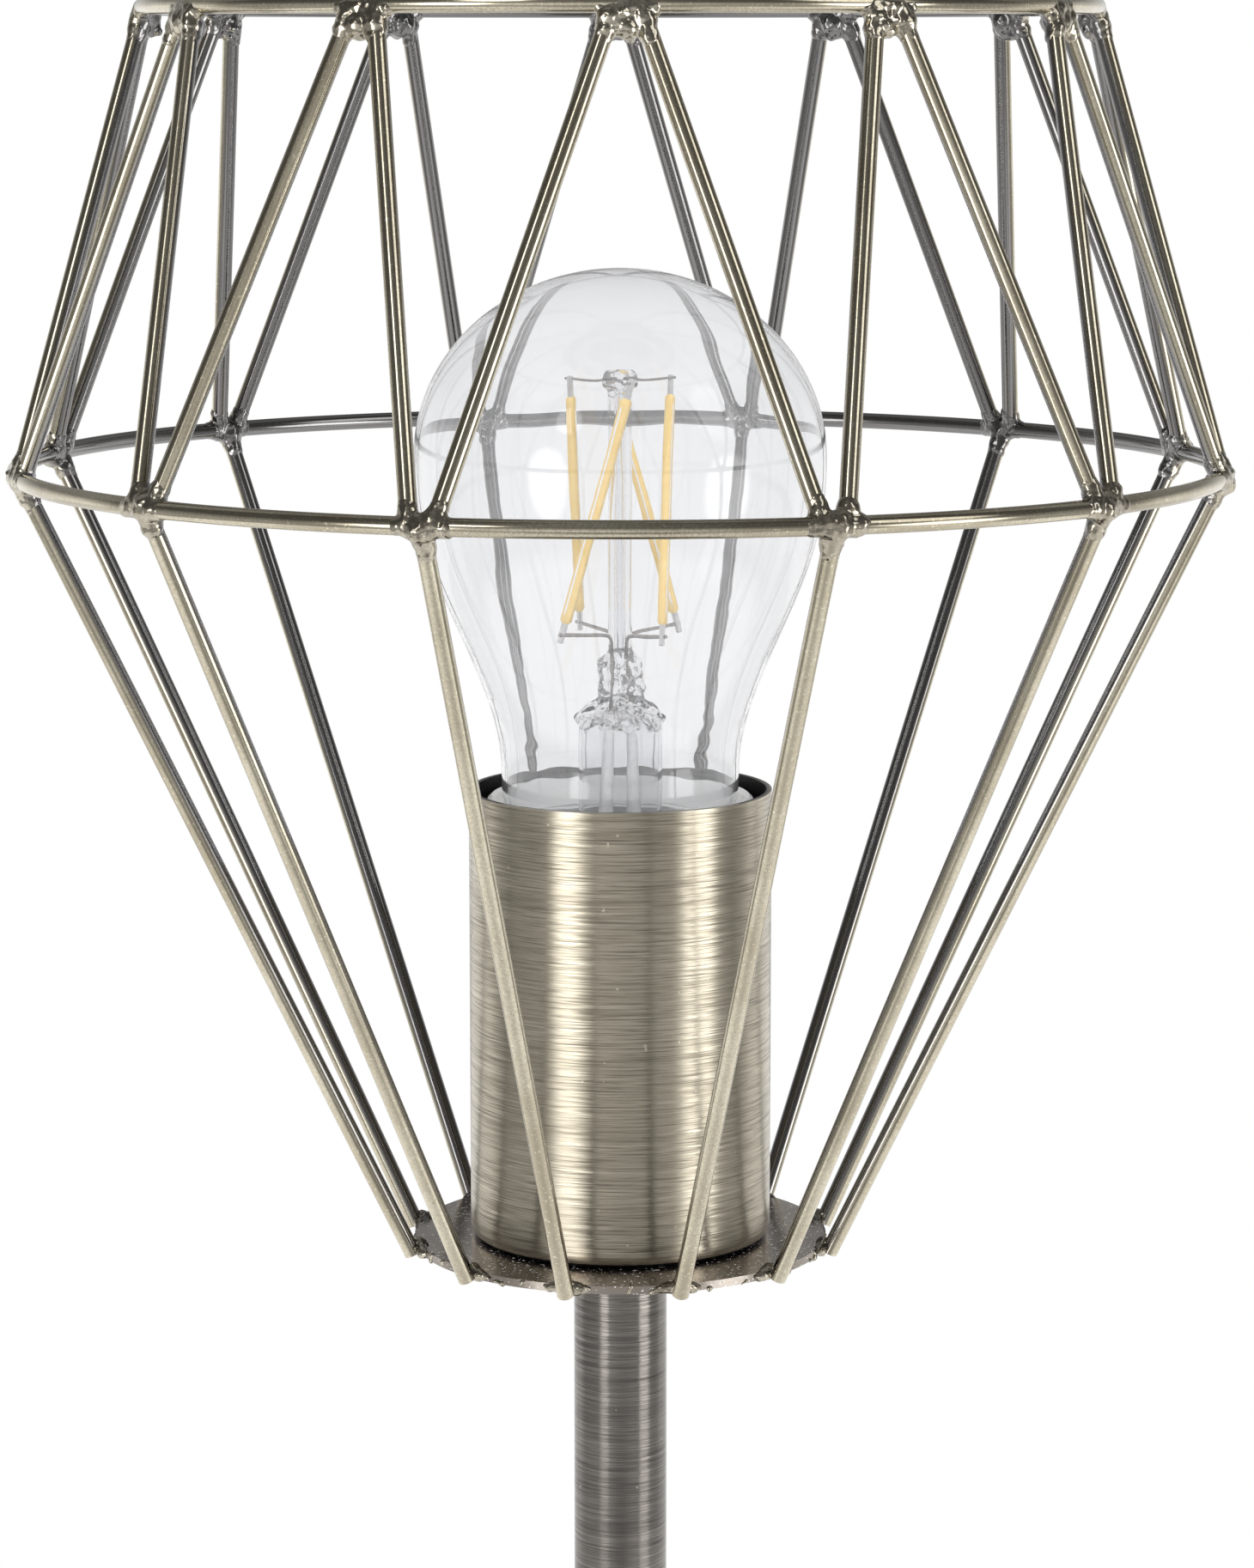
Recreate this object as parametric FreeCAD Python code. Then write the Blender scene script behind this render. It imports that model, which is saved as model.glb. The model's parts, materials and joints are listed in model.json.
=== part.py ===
"""Wire-cage table lamp with a screw-in filament bulb. Millimetres, +Z up, front towards -Y."""
import FreeCAD, Part
import math
import os

from FreeCAD import Vector

# Cage of round wire, with the same number of joints on each ring
JOINTS = 12
WIRE_R = 1.25
TOP_RING_R = 68.5
MID_RING_R = 88.0
FOOT_CIRCLE_R = 32.4
UPPER_H = 66.3
LOWER_H = 116.3
PLATE_T = 1.2
TOP_PAIR_SPACE = 0.6
MID_PAIR_SPACE = 0.7
TOP_BEAD_OVER = 1.75
TOP_BEAD_DROP = 2.2
MID_BEAD_OVER = 1.55
FOOT_BEAD_OVER = 0.65

# Degrees by which the middle-ring joints beside the front gap are moved round, and over which that dies out
FRONT_SPREAD = 2.6
SPREAD_REACH = 90.0

# Base: felt, shell, weight and cord bush
BASE_R = 75.0
BASE_H = 12.0
BASE_WALL = 1.2
BASE_EDGE_R = 2.0
FELT_T = 2.0
FELT_PROUD = 1.0
WEIGHT_GAP = 1.8
RECESS_R = 20.0
RECESS_ROOM = 0.8
CORD_BORE_R = 3.1
CORD_SKIN = 0.9
CORD_LIP = 0.6
CORD_FLANGE_T = 1.8

# Stem tube, its threaded bushes, and the hollow nipples, nuts and washers that clamp it
STEM_R = 7.0
STEM_WALL = 1.0
STEM_LEN = 247.0
BUSH_WALL = 0.97
BUSH_LEN = 15.0
NIPPLE_WALL = 1.5
NIPPLE_TAIL = 0.8
NIPPLE_SPARE = 1.0
NUT_WALL = 2.0
NUT_T = 4.0
WASHER_RIM = 0.9
WASHER_T = 0.8

# Socket cover and lampholder, built outwards from the bulb's cap
COVER_WALL = 0.8
COVER_EDGE_R = 1.8
COVER_RIM_H = 1.0
HOLDER_GAP = 2.0
SKIRT_WALL = 2.5
LIP_T = 1.1
LIP_H = 0.5
FUNNEL_H = 6.7
HUB_H = 3.2
HUB_LEN = 10.0
SEAT_RISE = 3.2
SEAT_LEDGE = 3.2
DOME_RIM_H = 8.0
BLOCK_RIM = 2.9
BLOCK_FLOOR_T = 11.0
WELL_R = 10.8
WELL_WALL = 1.8
WIRE_POCKET_R = 6.0
WIRE_POCKET_H = 4.0
SHELL_WALL = 0.5
STRIP_T = 0.6
STRIP_W = 5.0
SCREW_R = 1.4
SCREW_HEAD_R = 2.4
SCREW_HEAD_T = 1.6
SCREW_LEN = 2.4
SCREW_H = 8.0
PIN_R = 0.6
EYE_WALL = 0.6
PIN_INSET = 3.2
TONGUE_W = 1.8
TONGUE_T = 0.6
TONGUE_REACH = 2.5
CONTACT_RISE = 6.9

# Bulb: screw cap, glass, mount and filaments, heights counted up from the contact
THREAD_PITCH = 3.629
CAP_ROOT_R = 12.1
CAP_WALL = 0.4
CAP_H = 16.7
COLLAR_FLARE = 1.8
COLLAR_H = 3.0
RIDGE_H = 1.0
RIDGE_HALF = 0.95
SHELL_RIDGE_HALF = 0.75
THREAD_ROOM = 0.5
INSULATOR_H = 6.0
BUTTON_R = 4.8
BUTTON_H = 1.4
BOARD_T = 1.6
BOARD_H = 4.0
BULB_R = 30.3
BULB_LEN = 107.8
BULB_WIDEST = 80.2
WAIST_H = 33.5
NECK_CLEAR = 1.0
SHOULDER_H = 5.7
NECK_END_LEN = 5.7
GLASS_WALL = 0.7
FLARE_R = 6.2
FLARE_WALL = 0.8
FLARE_H = 42.0
PINCH_R = 3.3
PINCH_LEN = 7.0
MOUNT_ROD_R = 1.65
HOOK_RISE = 2.0
HOOK_BEAD_R = 2.9
FILAMENTS = 4
FILAMENT_R = 0.65
FILAMENT_TOP_R = 7.4
FILAMENT_LOW_R = 10.2
FILAMENT_TOP_H = 89.7
FILAMENT_LOW_H = 56.1
FILAMENT_PHASE = 98.0
FILAMENT_TWIST = 62.0
LEAD_R = 0.3
SLEEVE_TOP_R = 0.7
SLEEVE_LOW_R = 1.5
SLEEVE_GAP = 0.8

# Clearances: thread, slip fit, butt joint, press fit and open hole
THREAD_GAP = 0.05
SLIP_GAP = 0.2
BUTT_GAP = 0.02
PRESS_GAP = 0.03
HOLE_GAP = 0.2

# Radii that follow
stem_bore_r = STEM_R - STEM_WALL
nipple_r = stem_bore_r - PRESS_GAP - BUSH_WALL
nipple_bore_r = nipple_r - NIPPLE_WALL
thread_r = nipple_r + THREAD_GAP
hole_r = nipple_r + HOLE_GAP
nut_corner_r = (nipple_r + NUT_WALL) * 2 / math.sqrt(3)
washer_r = nut_corner_r + WASHER_RIM
cap_in_r = CAP_ROOT_R - CAP_WALL
shell_in_r = CAP_ROOT_R + RIDGE_H + THREAD_ROOM
shell_r = shell_in_r + SHELL_WALL
block_r = shell_r + BLOCK_RIM
skirt_in_r = block_r + SLIP_GAP
holder_r = skirt_in_r + SKIRT_WALL
cover_in_r = holder_r + HOLDER_GAP
cover_r = cover_in_r + COVER_WALL
lip_r = holder_r - LIP_T
neck_r = lip_r - NECK_CLEAR
neck_end_r = cap_in_r - SLIP_GAP - 0.1

# Heights that follow, from the table up
base_top_z = FELT_PROUD + BASE_H
plate_z = base_top_z + STEM_LEN
cover_z = plate_z + PLATE_T
plate_mid_z = plate_z + PLATE_T / 2
mid_z = plate_mid_z + LOWER_H
top_z = mid_z + UPPER_H
nut_z = cover_z + COVER_WALL + WASHER_T
dome_z = nut_z + NUT_T
seat_z = dome_z + HUB_LEN + SEAT_RISE
dome_top = seat_z + DOME_RIM_H
floor_z = seat_z + BLOCK_FLOOR_T
contact_z = floor_z + CONTACT_RISE
block_top = contact_z + BUTTON_H + 0.7
cap_low_z = contact_z + INSULATOR_H
collar_z = cap_low_z + CAP_H
collar_top = collar_z + COLLAR_H
shell_top = collar_z + 0.4
throat_z = shell_top + SLIP_GAP
skirt_top = throat_z + FUNNEL_H
cover_top = skirt_top + COVER_RIM_H
shoulder_z = collar_top + 0.1
neck_z = shoulder_z + SHOULDER_H
neck_end_z = collar_z - NECK_END_LEN

Z_AXIS = Vector(0, 0, 1)
ORIGIN = Vector(0, 0, 0)
parts = {}


def at(angle, radius, z):
    """Point on a circle round the lamp's axis, the angle in degrees from the front."""
    a = math.radians(angle)
    return Vector(radius * math.sin(a), -radius * math.cos(a), z)


def disc(radius, z0, z1):
    return Part.makeCylinder(radius, z1 - z0, Vector(0, 0, z0))


def tube(outer, inner, z0, z1):
    return disc(outer, z0, z1).cut(disc(inner, z0, z1))


def box(x0, x1, y0, y1, z0, z1):
    return Part.makeBox(x1 - x0, y1 - y0, z1 - z0, Vector(x0, y0, z0))


def across(radius, width, x, z):
    """Round bar along Y, centred on the lamp's middle plane."""
    return Part.makeCylinder(radius, width, Vector(x, -width / 2, z), Vector(0, 1, 0))


def turned(points):
    """Solid of revolution from (radius, height) corners."""
    corners = [Vector(r, 0, z) for r, z in points]
    face = Part.Face(Part.makePolygon(corners + corners[:1]))
    return face.revolve(ORIGIN, Z_AXIS, 360)


def rod(start, end, radius, trim_start=0.0, trim_end=0.0):
    """Straight round wire between two points, shortened at each end."""
    way = (end - start).normalize()
    first = start + way * trim_start
    length = (end - start).Length - trim_start - trim_end
    return Part.makeCylinder(radius, length, first, way)


def spun(shape, angle):
    copy = shape.copy()
    copy.rotate(ORIGIN, Z_AXIS, angle)
    return copy


def group(shapes):
    return Part.makeCompound(shapes)


def rounded(shape, fillet_r, circle_r, z):
    """Round the circular edge that has the given radius and height."""
    edges = []
    for edge in shape.Edges:
        curve = edge.Curve
        if not isinstance(curve, Part.Circle):
            continue
        if abs(curve.Radius - circle_r) < 1e-4 and abs(curve.Center.z - z) < 1e-4:
            edges.append(edge)
    return shape.makeFillet(fillet_r, edges)


def ridge(wall_r, crest_r, half_width, z0, height):
    """Round-crested helical ridge whose root is sunk a little into its wall."""
    sink = math.copysign(0.15, crest_r - wall_r)
    low = Vector(wall_r - sink, 0, z0 - half_width)
    high = Vector(wall_r - sink, 0, z0 + half_width)
    crest = Part.Arc(low, Vector(crest_r, 0, z0), high).toShape()
    profile = Part.Wire([crest, Part.LineSegment(high, low).toShape()])
    path = Part.makeHelix(THREAD_PITCH, height, wall_r)
    path.translate(Vector(0, 0, z0))
    return Part.Wire(path).makePipeShell([profile], True, True)


def hex_nut(z):
    points = [at(60 * i, nut_corner_r, z) for i in range(7)]
    body = Part.Face(Part.makePolygon(points)).extrude(Vector(0, 0, NUT_T))
    return body.cut(disc(thread_r, z, z + NUT_T))


# Base: felt pad, shell, cast weight and cord bush
base_in_r = BASE_R - BASE_WALL
roof_z = base_top_z - BASE_WALL
cord_z = FELT_PROUD + (BASE_H - BASE_EDGE_R) / 2
bush_body_r = CORD_BORE_R + CORD_SKIN
bush_lip_r = bush_body_r + CORD_LIP
weight_r = base_in_r - WEIGHT_GAP
parts["felt_pad"] = disc(weight_r, 0, FELT_T)


def cord_ring(radius, y0, y1):
    """Round bar along the way the cord leaves the base."""
    return Part.makeCylinder(radius, y1 - y0, Vector(0, y0, cord_z), Vector(0, 1, 0))


shell = rounded(disc(BASE_R, FELT_PROUD, base_top_z), BASE_EDGE_R, BASE_R, base_top_z)
hollow = rounded(disc(base_in_r, FELT_PROUD, roof_z), BASE_EDGE_R - BASE_WALL, base_in_r, roof_z)
shell = shell.cut(hollow).cut(disc(hole_r, roof_z, base_top_z))
shell = shell.cut(cord_ring(bush_body_r + THREAD_GAP, weight_r, BASE_R + CORD_FLANGE_T))
parts["base_shell"] = shell

recess_z = FELT_T + RECESS_ROOM + NIPPLE_TAIL + NUT_T + WASHER_T
weight = disc(weight_r, FELT_T, roof_z)
weight = weight.cut(disc(RECESS_R, FELT_T, recess_z)).cut(disc(hole_r, FELT_T, roof_z))
weight = weight.cut(box(-bush_lip_r, bush_lip_r, 0, BASE_R, FELT_T, recess_z))
parts["base_weight"] = weight

bush_in_y = weight_r + SLIP_GAP
bush_out_y = BASE_R + CORD_FLANGE_T
inner_lip = cord_ring(bush_lip_r, bush_in_y, base_in_r)
outer_lip = cord_ring(bush_lip_r, base_in_r, bush_out_y)
bush = cord_ring(bush_body_r, bush_in_y, bush_out_y).fuse(inner_lip).fuse(outer_lip).cut(shell)
parts["cord_bush"] = bush.cut(cord_ring(CORD_BORE_R, bush_in_y, bush_out_y)).removeSplitter()

# Stem with a threaded bush in each end, and the nipples, washers and nuts
parts["stem_tube"] = tube(STEM_R, stem_bore_r, base_top_z, plate_z)
bush_r = stem_bore_r - PRESS_GAP
low_bush = tube(bush_r, thread_r, base_top_z, base_top_z + BUSH_LEN)
high_bush = tube(bush_r, thread_r, plate_z - BUSH_LEN, plate_z)
parts["stem_bushes"] = group([low_bush, high_bush])
low_nut_z = recess_z - WASHER_T - NUT_T
low_end_z = base_top_z + BUSH_LEN - NIPPLE_SPARE
high_end_z = plate_z - BUSH_LEN + NIPPLE_SPARE
parts["lower_nipple"] = tube(nipple_r, nipple_bore_r, low_nut_z - NIPPLE_TAIL, low_end_z)
parts["upper_nipple"] = tube(nipple_r, nipple_bore_r, high_end_z, dome_z + HUB_LEN + NIPPLE_SPARE)
low_washer = tube(washer_r, hole_r, recess_z - WASHER_T, recess_z)
high_washer = tube(washer_r, hole_r, nut_z - WASHER_T, nut_z)
parts["lock_washers"] = group([low_washer, high_washer])
parts["lock_nuts"] = group([hex_nut(low_nut_z), hex_nut(nut_z)])

# Cage rings and foot plate
step = 360.0 / JOINTS
top_ring = Part.makeTorus(TOP_RING_R, WIRE_R, Vector(0, 0, top_z))
mid_ring = Part.makeTorus(MID_RING_R, WIRE_R, Vector(0, 0, mid_z))
parts["top_ring"] = top_ring
parts["mid_ring"] = mid_ring

slope = math.atan2(MID_RING_R - FOOT_CIRCLE_R, LOWER_H)
plate_r = FOOT_CIRCLE_R - PLATE_T / 2 * math.tan(slope) - WIRE_R * math.cos(slope) - BUTT_GAP
plate = tube(plate_r, hole_r, plate_z, cover_z)
parts["cage_plate"] = plate

# Straight spokes below the middle ring and slanted brace pairs above it
top_half_gap = math.degrees((WIRE_R + TOP_PAIR_SPACE / 2) / TOP_RING_R)
mid_half_gap = math.degrees((WIRE_R + MID_PAIR_SPACE / 2) / MID_RING_R)


def foot_angle(i):
    """Turn of a spoke's foot, up to half a turn either way from the front."""
    angle = step * (i + 0.5)
    return angle - 360 if angle > 180 else angle


def joint_angle(i):
    """Turn of a middle-ring joint. The front gap is the widest, and the spread dies out towards the back."""
    angle = foot_angle(i)
    fade = max(0.0, 1 - (abs(angle) - step / 2) / SPREAD_REACH)
    return angle + math.copysign(FRONT_SPREAD * fade, angle)


def end_trim(way, tangent):
    """Length taken off a wire so its flat end just meets the side of a ring of the same wire."""
    lean = abs(way.dot(tangent))
    return WIRE_R * (1 + lean) / math.sqrt(1 - lean * lean) + BUTT_GAP


def spoke(i):
    """Straight wire from the foot plate to a joint of the middle ring."""
    foot = at(foot_angle(i), FOOT_CIRCLE_R, plate_mid_z)
    head = at(joint_angle(i), MID_RING_R, mid_z)
    way = (head - foot).normalize()
    foot_below = PLATE_T / 2 / way.z
    return rod(foot, head, WIRE_R, -foot_below, end_trim(way, at(joint_angle(i) + 90, 1, 0)))


def brace(i, side):
    """Slanted wire from a joint of the top ring to the next joint of the middle ring on that side."""
    top_angle = step * i + side * top_half_gap
    mid_angle = joint_angle(i if side > 0 else i - 1) - side * mid_half_gap
    top = at(top_angle, TOP_RING_R, top_z)
    mid = at(mid_angle, MID_RING_R, mid_z)
    way = (mid - top).normalize()
    top_trim = end_trim(way, at(top_angle + 90, 1, 0))
    mid_trim = end_trim(way, at(mid_angle + 90, 1, 0))
    return rod(top, mid, WIRE_R, top_trim, mid_trim)


spokes = [spoke(i) for i in range(JOINTS)]
right_braces = [brace(i, 1) for i in range(JOINTS)]
left_braces = [brace(i, -1) for i in range(JOINTS)]
for i in range(JOINTS):
    parts[f"spoke_{i + 1:02d}"] = spokes[i]
    parts[f"brace_pair_{i + 1:02d}"] = group([right_braces[i], left_braces[i]])


def bead(spot, over, *wires):
    """Weld bead: a ball that fills a joint round the wires that it holds."""
    ball = Part.makeSphere(WIRE_R + over, spot)
    for wire in wires:
        ball = ball.cut(wire)
    return max(ball.Solids, key=lambda solid: solid.Volume)


top_bead_z = top_z - TOP_BEAD_DROP
top_beads = []
mid_beads = []
foot_beads = []
for i in range(JOINTS):
    next_left = left_braces[(i + 1) % JOINTS]
    top_spot = at(step * i, TOP_RING_R, top_bead_z)
    mid_spot = at(joint_angle(i), MID_RING_R, mid_z)
    foot_spot = at(foot_angle(i), plate_r, cover_z)
    top_beads.append(bead(top_spot, TOP_BEAD_OVER, top_ring, right_braces[i], left_braces[i]))
    mid_beads.append(bead(mid_spot, MID_BEAD_OVER, mid_ring, spokes[i], right_braces[i], next_left))
    foot_beads.append(bead(foot_spot, FOOT_BEAD_OVER, plate, spokes[i]))
parts["top_welds"] = group(top_beads)
parts["mid_welds"] = group(mid_beads)
parts["plate_welds"] = group(foot_beads)

# Socket cover: thin open cup with a rounded foot
cover_floor_z = cover_z + COVER_WALL
cover = rounded(disc(cover_r, cover_z, cover_top), COVER_EDGE_R, cover_r, cover_z)
cup_edge_r = COVER_EDGE_R - COVER_WALL
cup = rounded(disc(cover_in_r, cover_floor_z, cover_top), cup_edge_r, cover_in_r, cover_floor_z)
parts["socket_cover"] = cover.cut(cup).cut(disc(hole_r, cover_z, cover_floor_z))

# Lampholder dome, screwed on the nipple
hub_r = washer_r - WASHER_RIM / 2
ledge_r = block_r - SEAT_LEDGE
parts["holder_dome"] = turned([
    (thread_r, dome_z), (hub_r, dome_z), (hub_r, dome_z + HUB_H), (holder_r, dome_z + HUB_LEN),
    (holder_r, dome_top), (skirt_in_r, dome_top), (skirt_in_r, seat_z), (ledge_r, seat_z),
    (hub_r, dome_z + HUB_LEN), (thread_r, dome_z + HUB_LEN)])

# Terminal block: a disc with a well for the contact and a slot for each terminal
slot_half = STRIP_W / 2 + SLIP_GAP
strip_x = WELL_R + WELL_WALL
slot_x = strip_x - SLIP_GAP
screw_z = seat_z + SCREW_H
strip_z = screw_z - SCREW_HEAD_R - SLIP_GAP
slot_z = strip_z - SLIP_GAP
pin_z = floor_z + PIN_R + EYE_WALL
pin_x = PIN_INSET - WELL_R
eye_r = PIN_R + EYE_WALL
block = turned([
    (0, seat_z + WIRE_POCKET_H), (WIRE_POCKET_R, seat_z + WIRE_POCKET_H), (WIRE_POCKET_R, seat_z),
    (block_r, seat_z), (block_r, block_top), (WELL_R, block_top), (WELL_R, floor_z), (0, floor_z)])
block = block.cut(box(slot_x, block_r, -slot_half, slot_half, slot_z, block_top))
block = block.cut(box(-block_r, -slot_x, -slot_half, slot_half, slot_z, floor_z + 2 * STRIP_T))
block = block.cut(box(-block_r, pin_x, -slot_half, slot_half, floor_z, floor_z + 2 * STRIP_T))
screw_way = Vector(1, 0, 0)
screw_hole = Part.makeCylinder(SCREW_R + THREAD_GAP, 2 * block_r, Vector(-block_r, 0, screw_z), screw_way)
parts["terminal_block"] = block.cut(screw_hole)


def terminal_screw():
    """Slotted screw on the +X side, its head on the terminal strip."""
    head_x = strip_x + STRIP_T
    inward = Vector(-1, 0, 0)
    top = Vector(head_x + SCREW_HEAD_T, 0, screw_z)
    head = Part.makeCylinder(SCREW_HEAD_R, SCREW_HEAD_T, top, inward)
    shaft = Part.makeCylinder(SCREW_R, SCREW_HEAD_T + SCREW_LEN, top, inward)
    drive = box(head_x + SCREW_HEAD_T * 0.6, top.x, -SCREW_HEAD_R, SCREW_HEAD_R,
                screw_z - SCREW_HEAD_R / 8, screw_z + SCREW_HEAD_R / 8)
    return head.fuse(shaft).cut(drive).removeSplitter()


screw = terminal_screw()
parts["terminal_screws"] = group([screw, spun(screw, 180)])
strip_half = STRIP_W / 2
shell_strip = box(strip_x, strip_x + STRIP_T, -strip_half, strip_half, strip_z, block_top)
parts["shell_terminal"] = shell_strip.cut(screw_hole)

# Centre terminal with a rolled eye on each side of the sprung tongue
tongue_half = TONGUE_W / 2
notch_half = tongue_half + SLIP_GAP
foot = box(-strip_x - STRIP_T, -strip_x, -strip_half, strip_half, strip_z, floor_z + STRIP_T)
foot = foot.fuse(box(-strip_x - STRIP_T, pin_x, -strip_half, strip_half, floor_z, floor_z + STRIP_T))
foot = foot.fuse(across(eye_r, STRIP_W, pin_x, pin_z))
notch_r = 2 * eye_r
foot = foot.cut(box(pin_x - notch_r, pin_x + notch_r, -notch_half, notch_half, floor_z, pin_z + notch_r))
foot = foot.cut(across(PIN_R + THREAD_GAP, STRIP_W, pin_x, pin_z)).cut(screw_hole)
parts["centre_terminal"] = foot.removeSplitter()

tip_z = contact_z - BUTT_GAP
knee_z = tip_z - TONGUE_T
arm_corners = [
    (pin_x, pin_z + TONGUE_T / 2), (-TONGUE_T, knee_z), (TONGUE_REACH, tip_z),
    (TONGUE_REACH, tip_z - TONGUE_T), (-TONGUE_T, knee_z - TONGUE_T), (pin_x, pin_z - TONGUE_T / 2)]
arm_points = [Vector(x, -tongue_half, z) for x, z in arm_corners]
arm = Part.Face(Part.makePolygon(arm_points + arm_points[:1])).extrude(Vector(0, TONGUE_W, 0))
parts["contact_tongue"] = arm.fuse(across(PIN_R, STRIP_W, pin_x, pin_z)).removeSplitter()

# Screw shell and flared skirt
cap_ridge_z = cap_low_z + 1.6
ridge_len = CAP_H - 2.7
shell_ridge_z = cap_ridge_z - THREAD_PITCH / 2
flange_r = WELL_R + SLIP_GAP
screw_shell = turned([
    (shell_r, block_top), (shell_r, shell_top), (shell_in_r, shell_top), (shell_in_r, block_top + SHELL_WALL),
    (flange_r, block_top + SHELL_WALL), (flange_r, block_top)])
shell_ridge = ridge(shell_in_r, shell_in_r - RIDGE_H, SHELL_RIDGE_HALF, shell_ridge_z, ridge_len)
parts["screw_shell"] = screw_shell.fuse(shell_ridge)

skirt_bore_r = shell_r + SLIP_GAP
clamp_z = block_top + THREAD_GAP
parts["holder_skirt"] = turned([
    (skirt_in_r, dome_top), (skirt_in_r, clamp_z), (skirt_bore_r, clamp_z), (skirt_bore_r, throat_z),
    (lip_r, skirt_top - LIP_H), (lip_r + LIP_T / 2, skirt_top), (holder_r, skirt_top - LIP_H),
    (holder_r, dome_top)])

# Bulb cap with a rolled thread, its insulator, contact button and driver board
collar_r = CAP_ROOT_R + COLLAR_FLARE
rim_r = cap_in_r - 3 * CAP_WALL
cap = turned([
    (CAP_ROOT_R, cap_low_z), (CAP_ROOT_R, collar_z), (collar_r, collar_z + COLLAR_H / 2),
    (collar_r, collar_top), (collar_r - CAP_WALL, collar_top),
    (collar_r - CAP_WALL, collar_z + COLLAR_H / 2 + CAP_WALL / 2), (cap_in_r, collar_z + CAP_WALL / 2),
    (cap_in_r, cap_low_z + CAP_WALL), (rim_r, cap_low_z - CAP_WALL), (rim_r, cap_low_z - 2 * CAP_WALL)])
cap_ridge = ridge(CAP_ROOT_R, CAP_ROOT_R + RIDGE_H, RIDGE_HALF, cap_ridge_z, ridge_len)
parts["bulb_cap"] = cap.fuse(cap_ridge)

button_top = contact_z + BUTTON_H
inner_r = cap_in_r - SLIP_GAP
tip_r = rim_r - SLIP_GAP
parts["cap_insulator"] = turned([
    (0, cap_low_z + 2.0), (inner_r, cap_low_z + 2.0), (inner_r, cap_low_z + 2 * CAP_WALL),
    (tip_r, cap_low_z - CAP_WALL / 2), (tip_r, cap_low_z - 3 * CAP_WALL), (BUTTON_R + CAP_WALL, button_top),
    (0, button_top)])
parts["contact_button"] = turned([
    (0, button_top), (BUTTON_R, button_top), (BUTTON_R, contact_z + BUTTON_H / 2),
    (BUTTON_R * 0.75, contact_z), (0, contact_z)])

board_z = cap_low_z + BOARD_H
board_top = board_z + BOARD_T
chip_size = inner_r * 0.4
capacitor_r = inner_r * 0.22
capacitor = Part.makeCylinder(capacitor_r, 2 * capacitor_r, Vector(chip_size, -chip_size, board_top))
chip = Part.makeBox(chip_size, chip_size, BOARD_T, Vector(-chip_size * 1.5, chip_size / 4, board_top))
parts["driver_board"] = disc(inner_r, board_z, board_top).fuse(capacitor).fuse(chip)


def glass_points():
    """Outline from the top of the dome, an ellipse to the widest place, then an easing curve to the neck."""
    widest_z = contact_z + BULB_WIDEST
    dome_h = BULB_LEN - BULB_WIDEST
    waist_len = BULB_WIDEST - WAIST_H
    points = []
    for i in range(5):
        a = math.radians(22.5 * i)
        points.append(Vector(BULB_R * math.sin(a), 0, widest_z + dome_h * math.cos(a)))
    for i in range(1, 7):
        t = i / 6
        swell = (1 + math.cos(math.pi * t ** 1.13)) / 2
        points.append(Vector(neck_r + (BULB_R - neck_r) * swell, 0, widest_z - waist_len * t))
    return points


def envelope(inset):
    """Solid of revolution inside the glass outline, drawn in from it by the inset."""
    across_top = Vector(1, 0, 0)
    down = Vector(0, 0, -1)
    outline = Part.BSplineCurve()
    points = glass_points()
    outline.interpolate(Points=points, InitialTangent=across_top, FinalTangent=down)
    if inset:
        inner = []
        for point in points:
            tangent = outline.tangent(outline.parameter(point))[0]
            inner.append(point + Vector(tangent.z, 0, -tangent.x) * inset)
        outline.interpolate(Points=inner, InitialTangent=across_top, FinalTangent=down)
    neck = Vector(neck_r - inset, 0, neck_z)
    throat = Vector(collar_r - CAP_WALL - SLIP_GAP - inset, 0, shoulder_z + inset / 2)
    bend = Vector((neck.x * 2 + throat.x) / 3 + inset / 4, 0, (neck.z + throat.z) / 2)
    end_top = Vector(neck_end_r - inset, 0, collar_z + COLLAR_H / 2 - CAP_WALL)
    end = Vector(neck_end_r - inset, 0, neck_end_z)
    axis_end = Vector(0, 0, neck_end_z)
    edges = [outline.toShape(), Part.LineSegment(outline.EndPoint, neck).toShape()]
    edges.append(Part.Arc(neck, bend, throat).toShape())
    for a, b in ((throat, end_top), (end_top, end), (end, axis_end), (axis_end, outline.StartPoint)):
        edges.append(Part.LineSegment(a, b).toShape())
    return Part.Face(Part.Wire(edges)).revolve(ORIGIN, Z_AXIS, 360)


parts["bulb_glass"] = envelope(0).cut(envelope(GLASS_WALL))

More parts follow.
